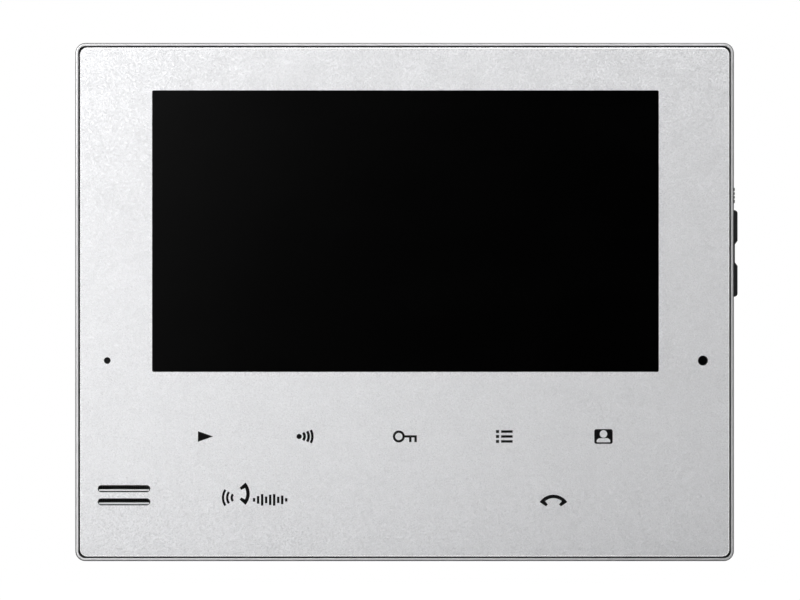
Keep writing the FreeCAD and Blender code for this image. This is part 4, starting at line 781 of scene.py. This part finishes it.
def rocker_marks():
    """Paint in the plus and minus grooves of the volume rocker."""
    low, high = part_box("volume_rocker")
    middle = (low + high) / 2 / MM
    reach, half_long, half_wide, deep = 8.5, 0.98, 0.18, 0.07
    sunk = 0.08
    strokes = [
        (middle.z + reach, half_long, half_wide),
        (middle.z + reach, half_wide, half_long),
        (middle.z - reach, half_long, half_wide),
    ]
    sides = (
        (0, 1, 2, 3), (4, 5, 6, 7), (0, 1, 5, 4), (1, 2, 6, 5), (2, 3, 7, 6), (3, 0, 4, 7),
    )
    points, faces = [], []
    outside = high.x / MM - sunk
    for up, across, tall in strokes:
        first = len(points)
        for x in (outside - deep, outside):
            for y, z in ((-across, -tall), (across, -tall), (across, tall), (-across, tall)):
                points.append((x * MM, (middle.y + y) * MM, (up + z) * MM))
        for side in sides:
            faces.append([first + corner for corner in side])
    mesh = mesh_from("rocker_marks", points, faces, smooth=False)
    add_piece("rocker_marks", mesh, mark_paint(), "volume_rocker")


# ---------------------------------------------------------------- soft pieces

CLOTH_PITCH = 0.55 * MM
THREAD_RADIUS = 0.19 * MM  # half the width of a thread
THREAD_FLATNESS = 0.55  # a thread's thickness over its width
CLOTH_STEPS = 4  # rings of points along a thread in each pitch
CLOTH_SIDES = 6


def thread_points(centre, away, reach, rise, phase, upright):
    """Rings of points along one thread that weaves in and out around a centre."""
    half_thick = THREAD_RADIUS * THREAD_FLATNESS
    points = []
    for step in range(-reach, reach + 1):
        along = step * CLOTH_PITCH / CLOTH_STEPS
        lift = rise * math.cos(math.pi * along / CLOTH_PITCH + phase)
        for side in range(CLOTH_SIDES):
            turn = FULL_TURN * side / CLOTH_SIDES
            wide = away + THREAD_RADIUS * math.cos(turn)
            deep = centre.y + lift + half_thick * math.sin(turn)
            x, z = (along, wide) if upright else (wide, along)
            points.append((centre.x + x, deep, centre.z + z))
    return points


def woven_cloth():
    """Acoustic cloth behind the sound slots: two sets of threads that pass over and under."""
    low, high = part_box("speaker_cloth")
    centre = (low + high) / 2
    radius = (high.x - low.x) / 2
    half_depth = THREAD_RADIUS * 0.6
    rise = (high.y - low.y) / 2 - half_depth
    count = int(radius / CLOTH_PITCH)
    points, faces = [], []
    for direction in (0, 1):
        for line in range(-count, count + 1):
            away = line * CLOTH_PITCH
            half = math.sqrt(max(0.0, radius ** 2 - away ** 2))
            reach = int(half / CLOTH_PITCH) * CLOTH_STEPS
            if reach < CLOTH_STEPS:
                continue
            phase = math.pi * (line + direction)
            faces += tube_faces(2 * reach + 1, CLOTH_SIDES, len(points))
            points += thread_points(centre, away, reach, rise, phase, direction)
    mesh = mesh_from("woven_speaker_cloth", points, faces)
    piece = add_piece("woven_speaker_cloth", mesh, MADE["cloth"])
    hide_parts("speaker_cloth")


def tube_faces(rings, sides, first):
    """Quads of an open tube of rings, with a cap at each end."""
    faces = []
    for ring in range(rings - 1):
        for side in range(sides):
            a = first + ring * sides + side
            b = first + ring * sides + (side + 1) % sides
            faces.append((a, b, b + sides, a + sides))
    faces.append(tuple(first + side for side in range(sides)))
    last = first + (rings - 1) * sides
    faces.append(tuple(last + side for side in range(sides)))
    return faces


def turned_piece(name, node, profile, slot):
    """Replaces a round CAD node by a turned mesh: profile is pairs of radius and place in Y."""
    steps = 96
    low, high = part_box(node)
    centre = (low + high) / 2
    points = []
    for step in range(steps):
        turn = FULL_TURN * step / steps
        aside, up = math.cos(turn), math.sin(turn)
        for radius, y in profile:
            points.append((centre.x + radius * aside, y, centre.z + radius * up))
    mesh = mesh_from(name, points, grid_faces(steps, len(profile)))
    piece = add_piece(name, mesh, MADE[slot])
    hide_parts(node)


def softened(corners, radius):
    """A closed profile of pairs with each corner rounded off."""
    steps, most_of_side = 5, 0.45
    rounded = []
    for n, corner in enumerate(corners):
        here = Vector(corner)
        for other in (Vector(corners[n - 1]), Vector(corners[(n + 1) % len(corners)])):
            reach = min(radius, (other - here).length * most_of_side)
            rounded.append((here, here + (other - here).normalized() * reach))
    points = []
    for n in range(0, len(rounded), 2):
        here, start = rounded[n]
        end = rounded[n + 1][1]
        for step in range(steps + 1):
            part = step / steps
            points.append(tuple(start.lerp(here, part).lerp(here.lerp(end, part), part)))
    return points


def ring_profile(node, inner, radius):
    """Rounded section of a flat ring that fills a node's box."""
    low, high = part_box(node)
    outer = (high.x - low.x) / 2
    corners = [(inner, low.y), (outer, low.y), (outer, high.y), (inner, high.y)]
    return softened(corners, radius)


def speaker_foam():
    """Foam ring that seals the speaker to the case."""
    inner, edge_radius = 14.2 * MM, 0.35 * MM
    profile = ring_profile("speaker_gasket", inner, edge_radius)
    turned_piece("speaker_foam_ring", "speaker_gasket", profile, "foam")


def speaker_roll():
    """Arched rubber surround between the cone and its frame."""
    low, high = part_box("speaker_surround")
    outer = (high.x - low.x) / 2
    inner, thick, steps = 11.5 * MM, 0.22 * MM, 14
    fullness = 0.8
    middle, half = (inner + outer) / 2, (outer - inner) / 2
    crest = high.y - low.y - thick
    over, under = [], []
    for step in range(steps + 1):
        turn = math.pi * step / steps
        radius = middle - half * math.cos(turn)
        rise = crest * math.sin(turn) ** fullness
        over.append((radius, high.y - thick - rise))
        under.append((radius, high.y - rise))
    turned_piece("speaker_rubber_roll", "speaker_surround", over + under[::-1], "rubber")


def microphone_seal():
    """Rubber boot around the microphone, with rounded lips."""
    low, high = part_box("microphone_boot")
    outer = (high.x - low.x) / 2
    hole, bore, floor = 1.5 * MM, 3.05 * MM, -14.45 * MM
    lip_radius = 0.25 * MM
    corners = [
        (hole, low.y), (outer, low.y), (outer, high.y),
        (bore, high.y), (bore, floor), (hole, floor),
    ]
    profile = softened(corners, lip_radius)
    turned_piece("microphone_rubber_seal", "microphone_boot", profile, "rubber")


def display_foam():
    """Foam frame between the display and the window, with soft edges."""
    low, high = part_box("display_gasket")
    wide, edge_radius, steps = 3.2 * MM, 0.16 * MM, 40
    corners = [(0, low.y), (wide, low.y), (wide, high.y), (0, high.y)]
    section = softened(corners, edge_radius)
    turns = [
        (low.x, low.z, 1, 1), (high.x, low.z, -1, 1),
        (high.x, high.z, -1, -1), (low.x, high.z, 1, -1),
    ]
    points = []
    for n, (x, z, in_x, in_z) in enumerate(turns):
        next_x, next_z, next_in_x, next_in_z = turns[(n + 1) % len(turns)]
        for step in range(steps):
            for inward, y in section:
                start = Vector((x + in_x * inward, z + in_z * inward))
                end = Vector((next_x + next_in_x * inward, next_z + next_in_z * inward))
                here = start.lerp(end, step / steps)
                points.append((here.x, y, here.y))
    faces = grid_faces(len(turns) * steps, len(section))
    mesh = mesh_from("display_foam_frame", points, faces, smooth=False)
    piece = add_piece("display_foam_frame", mesh, MADE["foam"])
    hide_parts("display_gasket")


# ---------------------------------------------------------------- studio


def paint_floor(floor):
    """Pale matt floor that melts into the white background at a grazing angle."""
    melt_starts, melt_ends = 0.80, 0.93
    look = Look("studio_floor")
    tone = look.varied(look.noise(60, 3), 0.985, 1.0)
    matt = look.add("BsdfDiffuse", {"Color": look.tinted(grey(0.93), tone)})
    glow = look.add("Emission", {"Color": grey(1.0), "Strength": 1.0})
    grazing = look.add("LayerWeight", {"Blend": 0.5}).outputs["Facing"]
    seen = look.add("LightPath").outputs["Is Camera Ray"]
    melt = look.math("MULTIPLY", look.range(grazing, melt_starts, melt_ends), seen)
    surface = look.add("MixShader", {0: melt, 1: matt.outputs[0], 2: glow.outputs[0]})
    look.add("OutputMaterial", {0: surface.outputs[0]})
    floor.data.materials.append(look.material)


def add_floor():
    """A large plain floor under the unit."""
    reach = 6.0
    level = CAD_BOX[0].z
    corners = [(x * reach, y * reach, level) for x, y in ((-1, -1), (1, -1), (1, 1), (-1, 1))]
    mesh = mesh_from("floor", corners, [(0, 1, 2, 3)], smooth=False)
    floor = bpy.data.objects.new("floor", mesh)
    bpy.context.scene.collection.objects.link(floor)
    paint_floor(floor)
    floor.visible_glossy = False


def add_lamp(name, place, aim, wide, tall, power):
    """A soft rectangular lamp that points at a place and isn't seen itself."""
    light = bpy.data.lights.new(name, "AREA")
    light.shape = "RECTANGLE"
    light.size = wide
    light.size_y = tall
    light.energy = power
    lamp = bpy.data.objects.new(name, light)
    lamp.location = place
    lamp.rotation_euler = (Vector(aim) - Vector(place)).to_track_quat("-Z", "Y").to_euler()
    lamp.visible_camera = False
    bpy.context.scene.collection.objects.link(lamp)


# name, place, what it points at, width, height and power, in metres and watts
LAMPS = [
    ("key", (-0.30, -0.26, 0.16), (0.00, 0, 0.00), 0.22, 0.30, 1.03),
    ("above", (0.0, -0.20, 0.30), (0.0, 0, 0.02), 0.30, 0.16, 0.61),
    ("above_right", (0.20, -0.15, 0.20), (0.06, 0, 0.05), 0.14, 0.14, 0.106),
    ("low_front", (-0.08, -0.40, -0.075), (0.0, 0, -0.075), 0.30, 0.05, 0.13),
    ("top", (0.0, 0.1, 1.1), (0, 0, 0), 1.2, 1.2, 6.0),
    ("back_left", (-0.9, 0.9, 0.5), (0, 0, 0), 0.7, 0.7, 9.0),
    ("back_right", (0.9, 0.8, 0.6), (0, 0, 0), 0.7, 0.7, 6.0),
]
# how bright the three parts of the world are
RING_GLOW = 1.5
BACK_GLOW = 0.45
FAINT_GLOW = 0.0255


def add_lamps():
    """Near lamps for the front, and broad ones above and behind."""
    for name, place, aim, wide, tall, power in LAMPS:
        add_lamp(name, place, aim, wide, tall, power)


def add_world():
    """White to the camera. The unit is lit by a bright ring around it, a dim glow from behind and
    a faint glow from everywhere that rises towards the upper left."""
    world = bpy.data.worlds.new("studio")
    bpy.context.scene.world = world
    nodes = Nodes(world)
    direction = nodes.add("TexCoord").outputs["Generated"]
    rightward, backward, upward = nodes.add("SeparateXYZ", {0: direction}).outputs
    ring_full, ring_gone = 0.10, 0.30
    depth = nodes.math("ABSOLUTE", backward)
    ring = nodes.range(
        depth, ring_full, ring_gone, RING_GLOW, 0.0, interpolation_type="SMOOTHSTEP"
    )
    back_starts, back_full = 0.25, 0.7
    behind = nodes.range(backward, back_starts, back_full, 0.0, BACK_GLOW)
    leftward_rise, upward_rise, most = 24.0, 11.0, 2.0
    leftward = nodes.math("MULTIPLY", rightward, -leftward_rise)
    slant = nodes.math("ADD", nodes.math("MULTIPLY", upward, upward_rise), leftward)
    held = nodes.add("Clamp", {0: slant, 1: -most, 2: most}).outputs[0]
    faint = nodes.math("MULTIPLY", nodes.math("EXPONENT", held), FAINT_GLOW)
    level = nodes.math("ADD", nodes.math("ADD", ring, behind), faint)
    studio = nodes.add("Background", {"Color": grey(1.0), "Strength": level})
    white = nodes.add("Background", {"Color": grey(1.0), "Strength": 1.0})
    seen = nodes.add("LightPath").outputs["Is Camera Ray"]
    both = nodes.add("MixShader", {0: seen, 1: studio.outputs[0], 2: white.outputs[0]})
    nodes.add("OutputWorld", {0: both.outputs[0]})


def add_camera():
    """A level telephoto view straight at the front."""
    distance, width_in_view = 1.2, 0.2392
    aside, above = -0.00138, 0.00061
    data = bpy.data.cameras.new("camera")
    data.sensor_width = 36.0
    data.lens = data.sensor_width * distance / width_in_view
    data.clip_start = 0.01
    data.clip_end = 50.0
    camera = bpy.data.objects.new("camera", data)
    camera.location = (aside, PANEL_FRONT - distance, above)
    camera.rotation_euler = (math.pi / 2, 0, 0)
    bpy.context.scene.collection.objects.link(camera)
    bpy.context.scene.camera = camera


# ---------------------------------------------------------------- the whole scene

dress_cad_nodes()
print_play()
print_chime()
print_key()
print_list()
print_visitor()
print_talk()
print_end_call()
rocker_marks()
woven_cloth()
speaker_foam()
speaker_roll()
microphone_seal()
display_foam()
add_floor()
add_lamps()
add_world()
add_camera()
bpy.context.scene.view_settings.view_transform = "Standard"
